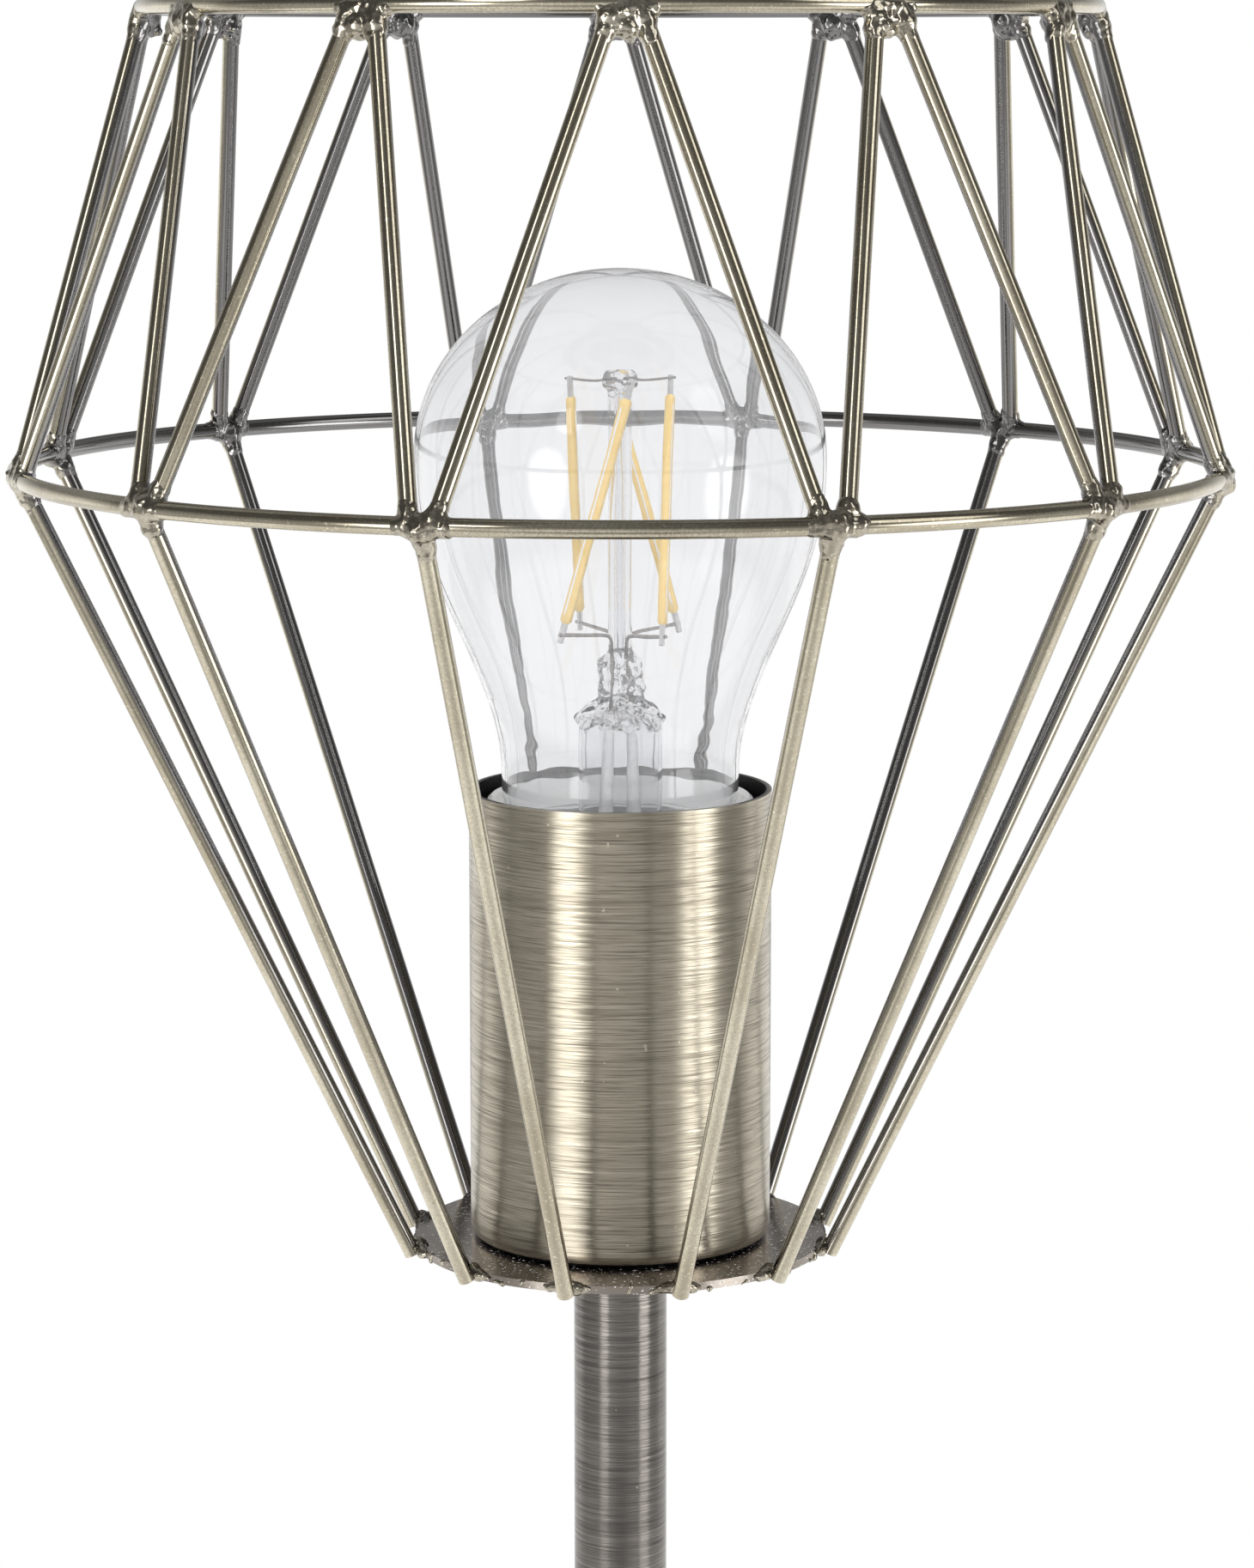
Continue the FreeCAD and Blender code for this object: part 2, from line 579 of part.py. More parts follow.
# Glass mount: flared foot, hollow tube, pinch, slim rod and top bead
foot_r = neck_end_r - THREAD_GAP
foot_in_r = foot_r - 2 * FLARE_WALL
flare_in_r = FLARE_R - FLARE_WALL
flare_low_z = neck_end_z + FLARE_R
flare_top_z = contact_z + FLARE_H
pinch_z = flare_top_z + PINCH_R * 0.75
pinch_top = pinch_z + PINCH_LEN
hook_z = contact_z + FILAMENT_TOP_H + HOOK_RISE
mount = turned([
    (foot_in_r + FLARE_WALL, neck_end_z - FLARE_WALL), (foot_r, neck_end_z - FLARE_WALL),
    (foot_r, neck_end_z), (foot_in_r + FLARE_WALL, neck_end_z), (FLARE_R, flare_low_z),
    (FLARE_R, flare_top_z), ((FLARE_R + PINCH_R) / 2, flare_top_z + PINCH_R / 2), (PINCH_R, pinch_z),
    (PINCH_R, pinch_top - PINCH_R / 2), (MOUNT_ROD_R, pinch_top + PINCH_R / 3),
    (MOUNT_ROD_R, hook_z - HOOK_BEAD_R / 2),
    (HOOK_BEAD_R, hook_z - 2 * LEAD_R), (HOOK_BEAD_R, hook_z + 2 * LEAD_R),
    (HOOK_BEAD_R / 2, hook_z + HOOK_BEAD_R / 2), (0, hook_z + HOOK_BEAD_R / 2),
    (0, flare_top_z), (flare_in_r * 0.7, flare_top_z - FLARE_WALL / 2),
    (flare_in_r, flare_top_z - 2 * FLARE_WALL), (flare_in_r, flare_low_z), (foot_in_r, neck_end_z)])

# Filaments twisted round the rod, hung from hooks and held below on lead wires
filament_top_z = contact_z + FILAMENT_TOP_H
filament_low_z = contact_z + FILAMENT_LOW_H
root_z = pinch_top - PINCH_R / 2
arm_z = filament_low_z - 2 * FILAMENT_R
root_r = PINCH_R / 2
lead_low_z = board_top + PRESS_GAP
sleeve_top_z = flare_top_z - SLEEVE_GAP
sleeve_low_z = lead_low_z + SLEEVE_GAP


def sleeve(head, tail):
    """Tapered insulating sleeve on the lead that runs down between two points inside the flared glass."""
    way = (tail - head).normalize()
    start = head + way * ((sleeve_top_z - head.z) / way.z)
    length = (sleeve_low_z - sleeve_top_z) / way.z
    skin = Part.makeCone(SLEEVE_TOP_R, SLEEVE_LOW_R, length, start, way)
    return skin.cut(Part.makeCylinder(LEAD_R + PRESS_GAP, length, start, way))


filaments = []
hooks = []
leads = []
sleeves = []
for i in range(FILAMENTS):
    top_angle = FILAMENT_PHASE + 360 / FILAMENTS * i
    low_angle = top_angle - FILAMENT_TWIST
    top_end = at(top_angle, FILAMENT_TOP_R, filament_top_z)
    low_end = at(low_angle, FILAMENT_LOW_R, filament_low_z)
    filament = rod(top_end, low_end, FILAMENT_R)
    filaments.append(filament)
    hook = rod(at(top_angle, HOOK_BEAD_R / 2, hook_z), at(top_angle, FILAMENT_TOP_R + LEAD_R, hook_z), LEAD_R)
    hang = rod(at(top_angle, FILAMENT_TOP_R, hook_z), top_end - Vector(0, 0, FILAMENT_R), LEAD_R)
    hooks.append(hook.fuse(hang).cut(filament))
    root = at(low_angle, root_r, root_z)
    arm_end = at(low_angle, FILAMENT_LOW_R, arm_z)
    tab = rod(arm_end - Vector(0, 0, LEAD_R), low_end + Vector(0, 0, FILAMENT_R), LEAD_R)
    lead = rod(root, arm_end, LEAD_R).fuse(tab)
    if i % 2 == 1:
        head = root + Vector(0, 0, LEAD_R)
        tail = at(low_angle, 2 * root_r, lead_low_z)
        lead = lead.fuse(rod(head, tail, LEAD_R))
        sleeves.append(sleeve(head, tail))
    leads.append(lead.cut(filament))
parts["filaments"] = group(filaments)
parts["filament_hooks"] = group(hooks)
parts["lead_wires"] = group(leads)
parts["lead_sleeves"] = group(sleeves)
for wire in hooks + leads:
    mount = mount.cut(wire)
parts["glass_mount"] = mount

os.makedirs("parts", exist_ok=True)
for name, shape in parts.items():
    shape.exportStep(f"parts/{name}.step")
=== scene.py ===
"""Looks of the wire-cage table lamp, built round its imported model. Metres, +Z up, front towards -Y."""
import json
import math
import random

import bmesh
import bpy
from mathutils import Matrix, Vector, noise


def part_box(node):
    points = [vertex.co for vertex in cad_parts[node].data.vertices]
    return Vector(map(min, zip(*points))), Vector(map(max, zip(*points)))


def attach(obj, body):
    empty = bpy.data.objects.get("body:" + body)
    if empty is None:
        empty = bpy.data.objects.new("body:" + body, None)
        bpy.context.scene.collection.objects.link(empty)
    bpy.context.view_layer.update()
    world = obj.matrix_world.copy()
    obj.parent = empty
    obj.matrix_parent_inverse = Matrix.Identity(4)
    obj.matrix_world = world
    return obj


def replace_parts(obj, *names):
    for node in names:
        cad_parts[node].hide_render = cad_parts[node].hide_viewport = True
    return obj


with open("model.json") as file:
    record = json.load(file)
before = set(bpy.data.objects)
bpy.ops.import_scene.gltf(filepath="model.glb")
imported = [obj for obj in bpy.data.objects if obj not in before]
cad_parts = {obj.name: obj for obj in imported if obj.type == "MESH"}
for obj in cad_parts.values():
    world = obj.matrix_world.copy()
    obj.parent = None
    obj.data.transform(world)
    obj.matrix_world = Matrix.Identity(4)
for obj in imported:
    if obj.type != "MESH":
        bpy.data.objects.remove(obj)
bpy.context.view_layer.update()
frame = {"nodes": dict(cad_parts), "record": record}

nodes = frame["nodes"]
MM = 0.001
JOINTS = 12


def middle(low, high):
    return (low + high) / 2


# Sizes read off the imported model
low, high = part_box("mid_ring")
WIRE_R = (high.z - low.z) / 2
MID_Z = middle(low.z, high.z)
MID_R = high.x - WIRE_R
low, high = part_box("top_ring")
TOP_Z = middle(low.z, high.z)
TOP_R = high.x - WIRE_R
low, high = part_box("cage_plate")
PLATE_R = high.x
PLATE_LOW_Z, PLATE_TOP_Z = low.z, high.z
COVER_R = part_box("socket_cover")[1].x
low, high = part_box("bulb_glass")
BULB_R = high.x
BULB_LOW_Z, BULB_TOP_Z = low.z, high.z
CONTACT_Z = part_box("contact_button")[0].z
LEAD_LOW_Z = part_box("lead_wires")[0].z

# Camera of the photograph, with the focal length in its pixels
PHOTO_HEIGHT = 1826
FOCAL_PX = 5234.7
SENSOR_MM = 36.0
CAMERA_AT = Vector((0.0010, -0.65846, MID_Z + 0.0616))
CAMERA_DOWN = 9.40
CAMERA_TURN = -0.8

camera_data = bpy.data.cameras.new("camera")
camera_data.sensor_width = SENSOR_MM
camera_data.lens = FOCAL_PX / PHOTO_HEIGHT * SENSOR_MM
camera_data.clip_start = 0.01
camera = bpy.data.objects.new("camera", camera_data)
camera.location = Matrix.Rotation(math.radians(CAMERA_TURN), 3, "Z") @ CAMERA_AT
camera.rotation_euler = (math.radians(90 - CAMERA_DOWN), 0, math.radians(CAMERA_TURN))
bpy.context.scene.collection.objects.link(camera)
bpy.context.scene.camera = camera
bpy.context.scene.view_settings.view_transform = "Standard"


# Node helpers
def add(tree, kind, inputs=None, **settings):
    """New shader node. An input given as a socket is linked, and any other value is set on it."""
    node = tree.nodes.new("ShaderNode" + kind)
    for key, value in settings.items():
        setattr(node, key, value)
    for key, value in (inputs or {}).items():
        if isinstance(value, bpy.types.NodeSocket):
            tree.links.new(value, node.inputs[key])
        else:
            node.inputs[key].default_value = value
    return node


def maths(tree, operation, first, second=0.0):
    return add(tree, "Math", {0: first, 1: second}, operation=operation).outputs[0]


def remap(tree, value, from_low, from_high, to_low=0.0, to_high=1.0):
    """Straight-line remap, held at its ends."""
    inputs = {"Value": value, 1: from_low, 2: from_high, 3: to_low, 4: to_high}
    return add(tree, "MapRange", inputs).outputs[0]


def mix_colour(tree, factor, first, second):
    return add(tree, "Mix", {0: factor, 6: first, 7: second}, data_type="RGBA").outputs[2]


def place(tree, stretch=(1, 1, 1)):
    """Position in the lamp's frame in metres, stretched per axis."""
    spot = add(tree, "TexCoord").outputs["Object"]
    return add(tree, "Mapping", {"Vector": spot, "Scale": stretch}).outputs[0]


def from_axis(tree):
    """Distance from the lamp's axis in metres."""
    return add(tree, "VectorMath", {0: place(tree, (1, 1, 0))}, operation="LENGTH").outputs["Value"]


def grain(tree, scale, detail, roughness=0.5):
    """Noise between 0 and 1, with features about one over the scale in metres."""
    inputs = {"Vector": place(tree), "Scale": scale, "Detail": detail, "Roughness": roughness}
    return add(tree, "TexNoise", inputs).outputs["Fac"]


def specks(tree, scale, share, edge=0.02):
    """Scattered spots where noise is within a share of its top, soft over an edge."""
    return remap(tree, grain(tree, scale, 1.0), 1 - share, 1 - share + edge)


def rgba(colour, factor=1.0):
    """The colour made lighter or darker by a factor, ready for a socket."""
    return (*[part * factor for part in colour], 1.0)


def finish_of(name, **values):
    """New material with a Principled shader whose plain sockets are set, and its node tree."""
    made = bpy.data.materials.new(name)
    made.use_nodes = True
    tree = made.node_tree
    shader = tree.nodes["Principled BSDF"]
    for key, value in values.items():
        shader.inputs[key.replace("_", " ").title().replace("Ior", "IOR")].default_value = value
    return made, tree, shader


def drive(tree, shader, **sockets):
    """Link sockets to the shader's inputs of the same names."""
    for key, value in sockets.items():
        tree.links.new(value, shader.inputs[key.replace("_", " ").title()])


def show(tree, shader):
    """Make a shader the one that the material shows."""
    tree.links.new(shader.outputs[0], tree.nodes["Material Output"].inputs["Surface"])


def bump(tree, height, distance, strength, normal=None):
    inputs = {"Height": height, "Distance": distance, "Strength": strength}
    if normal is not None:
        inputs["Normal"] = normal
    return add(tree, "Bump", inputs).outputs[0]


# Metals
def outward(tree):
    """1 where the surface faces away from the lamp's axis, 0 where it faces it."""
    across = add(tree, "VectorMath", {0: place(tree, (1, 1, 0))}, operation="NORMALIZE").outputs[0]
    facing = add(tree, "NewGeometry").outputs["Normal"]
    share = add(tree, "VectorMath", {0: across, 1: facing}, operation="DOT_PRODUCT").outputs["Value"]
    return remap(tree, share, -0.3, 0.2)


def wire_metal(name, light, dark, inside, rough, pit=0.001 * MM):
    """Satin antique plating with broad patina, fine pits and worn specks, grey on its inner side."""
    made, tree, shader = finish_of(name, metallic=1.0)
    patina = remap(tree, grain(tree, 55, 3.0, 0.6), 0.35, 0.68)
    colour = mix_colour(tree, patina, rgba(light), rgba(dark))
    fine = grain(tree, 2600, 3.0, 0.65)
    pitted = remap(tree, fine, 0.42, 0.66, 0.0, 0.55)
    colour = mix_colour(tree, pitted, colour, rgba(dark, 0.85))
    worn = specks(tree, 2300, 0.36, 0.08)
    colour = mix_colour(tree, worn, colour, rgba(light, 1.08))
    colour = mix_colour(tree, outward(tree), rgba(inside), colour)
    shine = remap(tree, fine, 0.3, 0.7, rough - 0.02, rough + 0.04)
    shine = maths(tree, "ADD", shine, remap(tree, patina, 0, 1, -0.02, 0.03))
    drive(tree, shader, base_color=colour, roughness=shine, normal=bump(tree, fine, pit, 0.6))
    return made


def brushing(tree, detail, turn, lines):
    """Noise drawn out round the axis, with lines per metre up a wall or out across a flat face."""
    spot = add(tree, "SeparateXYZ", {0: place(tree)}).outputs
    rise = maths(tree, "ADD", spot[2], from_axis(tree))
    parts = {0: maths(tree, "MULTIPLY", spot[0], turn),
             1: maths(tree, "MULTIPLY", spot[1], turn),
             2: maths(tree, "MULTIPLY", rise, lines)}
    drawn = add(tree, "CombineXYZ", parts).outputs[0]
    inputs = {"Vector": drawn, "Scale": 1.0, "Detail": detail, "Roughness": 0.6}
    return add(tree, "TexNoise", inputs).outputs["Fac"]


def swayed(tree, tangent, streak, reach):
    """The surface's normal, leaned a little along the brushing from streak to streak."""
    sway = maths(tree, "MULTIPLY", maths(tree, "SUBTRACT", streak, 0.5), reach)
    tilt = add(tree, "VectorMath", {0: tangent, "Scale": sway}, operation="SCALE").outputs[0]
    facing = add(tree, "NewGeometry").outputs["Normal"]
    leaning = add(tree, "VectorMath", {0: facing, 1: tilt}, operation="ADD").outputs[0]
    return add(tree, "VectorMath", {0: leaning}, operation="NORMALIZE").outputs[0]


BRUSH_LINES = 6600
BRUSH_TURN = 120
BRUSH_SWAY = 0.16
BRUSH_DEPTH = 0.006 * MM


def brushed_metal(name, light, dark, rough, anisotropy=0.75, inner_r=None, inner=None):
    """Antique plating brushed round the axis, and within a radius a plain dark colour on its inside, painted
    shade.
    """
    made, tree, shader = finish_of(name, metallic=1.0, anisotropic=anisotropy, anisotropic_rotation=0.25)
    tangent = add(tree, "Tangent", direction_type="RADIAL", axis="Z").outputs[0]
    fine = brushing(tree, 2.0, BRUSH_TURN, BRUSH_LINES)
    streak = brushing(tree, 3.0, BRUSH_TURN * 0.6, BRUSH_LINES * 0.7)
    broad = brushing(tree, 3.0, BRUSH_TURN * 0.15, BRUSH_LINES * 0.06)
    patina = remap(tree, grain(tree, 38, 3.0, 0.6), 0.35, 0.7)
    colour = mix_colour(tree, remap(tree, streak, 0.36, 0.76), rgba(light), rgba(dark))
    colour = mix_colour(tree, remap(tree, fine, 0.5, 0.68, 0.0, 0.85), colour, rgba(dark, 0.6))
    colour = mix_colour(tree, remap(tree, broad, 0.45, 0.75, 0.0, 0.4), colour, rgba(dark))
    colour = mix_colour(tree, remap(tree, patina, 0, 1, 0.0, 0.25), colour, rgba(dark))
    nick = specks(tree, 700, 0.23)
    colour = mix_colour(tree, nick, colour, rgba(light, 1.12))
    # Within the radius the colour becomes a plain dark one: painted shade inside the cup
    if inner_r is not None:
        inside = maths(tree, "LESS_THAN", from_axis(tree), inner_r)
        colour = mix_colour(tree, inside, colour, rgba(inner))
    shine = remap(tree, fine, 0.3, 0.7, rough - 0.05, rough + 0.07)
    bumps = bump(tree, streak, BRUSH_DEPTH, 0.6, swayed(tree, tangent, streak, BRUSH_SWAY))
    drive(tree, shader, base_color=colour, roughness=shine, normal=bumps, tangent=tangent)
    return made


BRASS = (0.63, 0.578, 0.466)
BRASS_DARK = (0.31, 0.275, 0.21)
GUNMETAL = (0.35, 0.322, 0.292)
GUNMETAL_DARK = (0.125, 0.114, 0.107)
INSIDE_GREY = (0.24, 0.235, 0.232)
# Near-black painted shade for the inside of the socket cover
COVER_INSIDE_SHADE = (0.06, 0.058, 0.06)
COVER_SKIN = 0.4 * MM
cage_brass = wire_metal("cage_brass", (0.64, 0.592, 0.465), (0.45, 0.40, 0.30), INSIDE_GREY, 0.12)
weld_brass = wire_metal("weld_brass", (0.60, 0.56, 0.46), (0.34, 0.30, 0.235), INSIDE_GREY, 0.15, 0.003 * MM)
cover_brass = brushed_metal("cover_brass", BRASS, BRASS_DARK, 0.31,
                            inner_r=COVER_R - COVER_SKIN, inner=COVER_INSIDE_SHADE)
stem_bronze = brushed_metal("stem_bronze", GUNMETAL, GUNMETAL_DARK, 0.19, anisotropy=0.65)
base_bronze = brushed_metal("base_bronze", GUNMETAL, GUNMETAL_DARK, 0.3)

PLATE_LIGHT = (0.90, 0.82, 0.76)
PLATE_DARK = (0.58, 0.52, 0.48)
PLATE_SHEEN = (0.95, 0.88, 0.78)
PLATE_CUT = (0.36, 0.32, 0.28)
PLATE_CUT_DEPTH = 0.15 * MM
DUST = (0.86, 0.84, 0.80)


def plate_metal():
    """Antique sheet with a darker cut edge and pale specks of dust."""
    made, tree, shader = finish_of("plate_bronze")
    patina = remap(tree, grain(tree, 70, 4.0, 0.65), 0.35, 0.7)
    colour = mix_colour(tree, patina, rgba(PLATE_LIGHT), rgba(PLATE_DARK))
    fine = grain(tree, 2200, 2.0, 0.6)
    colour = mix_colour(tree, remap(tree, fine, 0.55, 0.8), colour, rgba(PLATE_SHEEN))
    edge = maths(tree, "GREATER_THAN", from_axis(tree), PLATE_R - PLATE_CUT_DEPTH)
    colour = mix_colour(tree, edge, colour, rgba(PLATE_CUT))
    dust = specks(tree, 1900, 0.34, 0.03)
    colour = mix_colour(tree, dust, colour, rgba(DUST))
    metal = maths(tree, "SUBTRACT", 1.0, dust)
    shine = remap(tree, fine, 0.3, 0.75, 0.16, 0.3)
    bumps = bump(tree, fine, 0.01 * MM, 0.6)
    drive(tree, shader, base_color=colour, metallic=metal, roughness=shine, normal=bumps)
    return made


plate_bronze = plate_metal()


def plain_metal(name, colour, rough):
    """Bare metal with a fine clouded shine."""
    made, tree, shader = finish_of(name, metallic=1.0)
    fine = grain(tree, 900, 3.0, 0.6)
    shade = mix_colour(tree, remap(tree, fine, 0.3, 0.7), rgba(colour), rgba(colour, 0.8))
    drive(tree, shader, base_color=shade, roughness=remap(tree, fine, 0.3, 0.7, rough - 0.05, rough + 0.08))
    return made


zinc_steel = plain_metal("zinc_steel", (0.62, 0.62, 0.60), 0.32)
contact_brass = plain_metal("contact_brass", (0.72, 0.58, 0.30), 0.28)
cap_nickel = plain_metal("cap_nickel", (0.72, 0.71, 0.68), 0.2)
lead_steel = plain_metal("lead_steel", (0.42, 0.40, 0.38), 0.25)
tab_silver = plain_metal("tab_silver", (0.80, 0.79, 0.78), 0.3)


# Plastics, ceramics, felt and glass
def moulded(name, light, dark, rough, scale=300, pit=0.02 * MM):
    """Dull solid, mottled between two colours and pitted at a scale."""
    made, tree, shader = finish_of(name)
    fine = grain(tree, scale, 3.0, 0.6)
    colour = mix_colour(tree, remap(tree, fine, 0.3, 0.7), rgba(light), rgba(dark))
    shine = remap(tree, fine, 0.3, 0.7, rough - 0.04, rough + 0.08)
    drive(tree, shader, base_color=colour, roughness=shine, normal=bump(tree, fine, pit, 0.4))
    return made


holder_white = moulded("holder_white", (0.93, 0.93, 0.92), (0.88, 0.88, 0.87), 0.28)
block_ceramic = moulded("block_ceramic", (0.82, 0.80, 0.76), (0.72, 0.70, 0.66), 0.5, 900)
black_plastic = moulded("black_plastic", (0.03, 0.03, 0.03), (0.045, 0.045, 0.045), 0.45, 1200, 0.05 * MM)
black_glass = moulded("black_glass", (0.015, 0.015, 0.018), (0.03, 0.03, 0.035), 0.12)
board_green = moulded("board_green", (0.04, 0.18, 0.09), (0.03, 0.13, 0.07), 0.4, 700)
cast_weight = moulded("cast_weight", (0.13, 0.13, 0.13), (0.07, 0.07, 0.07), 0.6, 500, 0.3 * MM)
felt = moulded("felt", (0.06, 0.06, 0.06), (0.025, 0.025, 0.025), 0.95, 1600, 0.4 * MM)
sleeve_white = moulded("sleeve_white", (0.98, 0.98, 0.98), (0.80, 0.80, 0.81), 0.4, 1500, 0.3 * MM)
filament_amber = moulded("filament_amber", (0.95, 0.71, 0.27), (0.90, 0.62, 0.20), 0.4, 700, 0.05 * MM)

GLASS_TINT = (0.928, 0.931, 0.94)


def glass(name, wave, clearness):
    """Blown glass whose thickness wanders a little, milky where it isn't fully clear, and with no shadow."""
    made, tree, shader = finish_of(name, base_color=rgba(GLASS_TINT), transmission_weight=clearness,
                                   roughness=0.0, ior=1.5, specular_ior_level=0.35)
    drive(tree, shader, normal=bump(tree, grain(tree, 90, 1.0, 0.4), wave, 1.0))
    clear = add(tree, "BsdfTransparent")
    shadow = add(tree, "LightPath").outputs["Is Shadow Ray"]
    show(tree, add(tree, "MixShader", {0: shadow, 1: shader.outputs[0], 2: clear.outputs[0]}))
    return made


clear_glass = glass("clear_glass", 0.04 * MM, 0.94)
mount_glass = glass("mount_glass", 0.1 * MM, 1.0)

FINISHES = {
    "felt": felt, "base_bronze": base_bronze, "cast_weight": cast_weight, "black_plastic": black_plastic,
    "stem_bronze": stem_bronze, "zinc_steel": zinc_steel, "cage_brass": cage_brass,
    "plate_bronze": plate_bronze, "weld_brass": weld_brass, "cover_brass": cover_brass,
    "holder_white": holder_white, "block_ceramic": block_ceramic, "contact_brass": contact_brass,
    "cap_nickel": cap_nickel, "black_glass": black_glass, "board_green": board_green,
    "clear_glass": clear_glass, "filament_amber": filament_amber, "lead_steel": lead_steel,
    "sleeve_white": sleeve_white}
for row in frame["record"]["subparts"]:
    piece = nodes[row["node"]]
    piece.data.materials.clear()
    piece.data.materials.append(FINISHES[row["material_slot"]])


# Pieces and places
def spot_on(angle, radius, z):
    """Point on a circle round the lamp's axis, the angle in degrees from the front."""
    a = math.radians(angle)
    return Vector((radius * math.sin(a), -radius * math.cos(a), z))


def new_piece(name, mesh, finish, body):
    """New object of the lamp, with its finish, that moves with a body."""
    piece = bpy.data.objects.new(name, mesh)
    bpy.context.scene.collection.objects.link(piece)
    mesh.materials.clear()
    mesh.materials.append(finish)
    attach(piece, body)
    return piece


def smooth_mesh(name, bm):
    mesh = bpy.data.meshes.new(name)
    bm.to_mesh(mesh)
    bm.free()
    mesh.shade_smooth()
    return mesh


# Joints of the cage, whose front gap is the widest
STEP = 360 / JOINTS
FRONT_SPREAD = 2.6
SPREAD_REACH = 90


def foot_angle(i):
    """Turn of a spoke's foot, up to half a turn either way from the front."""
    angle = STEP * (i + 0.5)
    return angle - 360 if angle > 180 else angle


def joint_angle(i):
    """Turn of a middle-ring joint. The spread of the front gap dies out towards the back."""
    angle = foot_angle(i)
    fade = max(0.0, 1 - (abs(angle) - STEP / 2) / SPREAD_REACH)
    return angle + math.copysign(FRONT_SPREAD * fade, angle)


# Weld beads: balls merged by a fine remesh, then roughened
BEAD_VOXEL = 0.22 * MM
BEAD_SMOOTHING = 12
BEAD_GRAIN = 1.4 * MM
BEAD_ROUGH = 0.18 * MM


def merged(balls):
    """Mesh of one weld bead: overlapping balls given as (centre, radius), merged by a fine remesh."""
    bm = bmesh.new()
    for centre, radius in balls:
        bmesh.ops.create_icosphere(bm, subdivisions=2, radius=radius, matrix=Matrix.Translation(centre))
    mesh = bpy.data.meshes.new("bead")
    bm.to_mesh(mesh)
    bm.free()
    source = bpy.data.objects.new("bead", mesh)
    bpy.context.scene.collection.objects.link(source)
    remesh = source.modifiers.new("remesh", "REMESH")
    remesh.mode = "VOXEL"
    remesh.voxel_size = BEAD_VOXEL
    smooth = source.modifiers.new("smooth", "SMOOTH")
    smooth.iterations = BEAD_SMOOTHING
    made = bpy.data.meshes.new_from_object(source.evaluated_get(bpy.context.evaluated_depsgraph_get()))
    bpy.data.objects.remove(source)
    return made


def beads(name, joints):
    """One roughened mesh of all the beads, each joint given as its list of balls."""
    bm = bmesh.new()
    for balls in joints:
        bm.from_mesh(merged(balls))
    bm.normal_update()
    moves = []
    for vertex in bm.verts:
        wander = noise.noise(vertex.co / BEAD_GRAIN) + 0.4 * noise.noise(vertex.co / BEAD_GRAIN * 2.6)
        moves.append(vertex.normal * wander * BEAD_ROUGH)
    for vertex, move in zip(bm.verts, moves):
        vertex.co += move
    return smooth_mesh(name, bm)


chance = random.Random(7)


def jitter(size):
    return Vector([chance.uniform(-size, size) for _ in range(3)])


def collar(start, way, first, last, count, swell, radius=WIRE_R):
    """Balls in a row from one distance to another, standing proud of the radius by the swell at the first."""
    row = []
    for i in range(count):
        t = i / (count - 1)
        centre = start + way * (first + (last - first) * t) + jitter(0.12 * MM)
        row.append((centre, radius + swell * (1 - t * t) + chance.uniform(-0.1, 0.1) * MM))
    return row


def lumps(centre, spread, count, small, large):
    """Balls heaped round a point, with radii in millimetres."""
    return [(centre + jitter(spread), chance.uniform(small, large) * MM) for _ in range(count)]


def droplets(centre, spread, count, small, large):
    """Spatter on a ball of the given spread."""
    balls = []
    for _ in range(count):
        way = jitter(1.0)
        way.normalize()
        balls.append((centre + way * spread * chance.uniform(0.7, 1.0), chance.uniform(small, large)))
    return balls


# Weld collars: nearest and furthest ball along the wire, number of balls, swell at the nearest
TOP_RING_COLLAR = (0.3 * MM, 3.6 * MM, 6, 0.45 * MM)
TOP_BRACE_COLLAR = (2.0 * MM, 5.2 * MM, 5, 0.45 * MM)
MID_SPOKE_COLLAR = (1.0 * MM, 4.6 * MM, 5, 0.5 * MM)
MID_RING_COLLAR = (0.3 * MM, 4.0 * MM, 6, 0.55 * MM)
MID_BRACE_COLLAR = (1.2 * MM, 3.6 * MM, 4, 0.4 * MM)
FOOT_RIM_COLLAR = (0.8 * MM, 3.4 * MM, 5, 0.75 * MM)
FOOT_RIM_COLLAR_R = 0.35 * MM

# Turn in degrees from a joint to the end of each of its braces
TOP_SPLAY = 1.3
MID_SPLAY = 1.0

LUMP_SPREAD = 0.8 * MM
COLLAR_SINK = Vector((0, 0, 0.5 * MM))
TOP_CORE_DROP = Vector((0, 0, 2.4 * MM))
SPOKE_STANDOFF = 1.4 * MM
RIM_SPATTER = 9
RIM_SPATTER_DEPTH = 0.1 * MM


def top_weld(i):
    """Balls of a top-ring joint: collars on the ring and both braces, a heap under it, and spatter."""
    angle = STEP * i
    joint = spot_on(angle, TOP_R, TOP_Z)
    side = spot_on(angle + 90, 1, 0)
    balls = []
    for hand in (-1, 1):
        balls += collar(joint - COLLAR_SINK, side * hand, *TOP_RING_COLLAR)
        head = spot_on(angle + hand * TOP_SPLAY, TOP_R, TOP_Z)
        tail = spot_on(joint_angle(i if hand > 0 else i - 1) - hand * MID_SPLAY, MID_R, MID_Z)
        balls += collar(head, (tail - head).normalized(), *TOP_BRACE_COLLAR)
    core = joint - TOP_CORE_DROP
    balls += lumps(core, LUMP_SPREAD, 5, 1.5, 2.1)
    balls += droplets(core, 2.5 * MM, 7, 0.45 * MM, 0.8 * MM)
    return balls


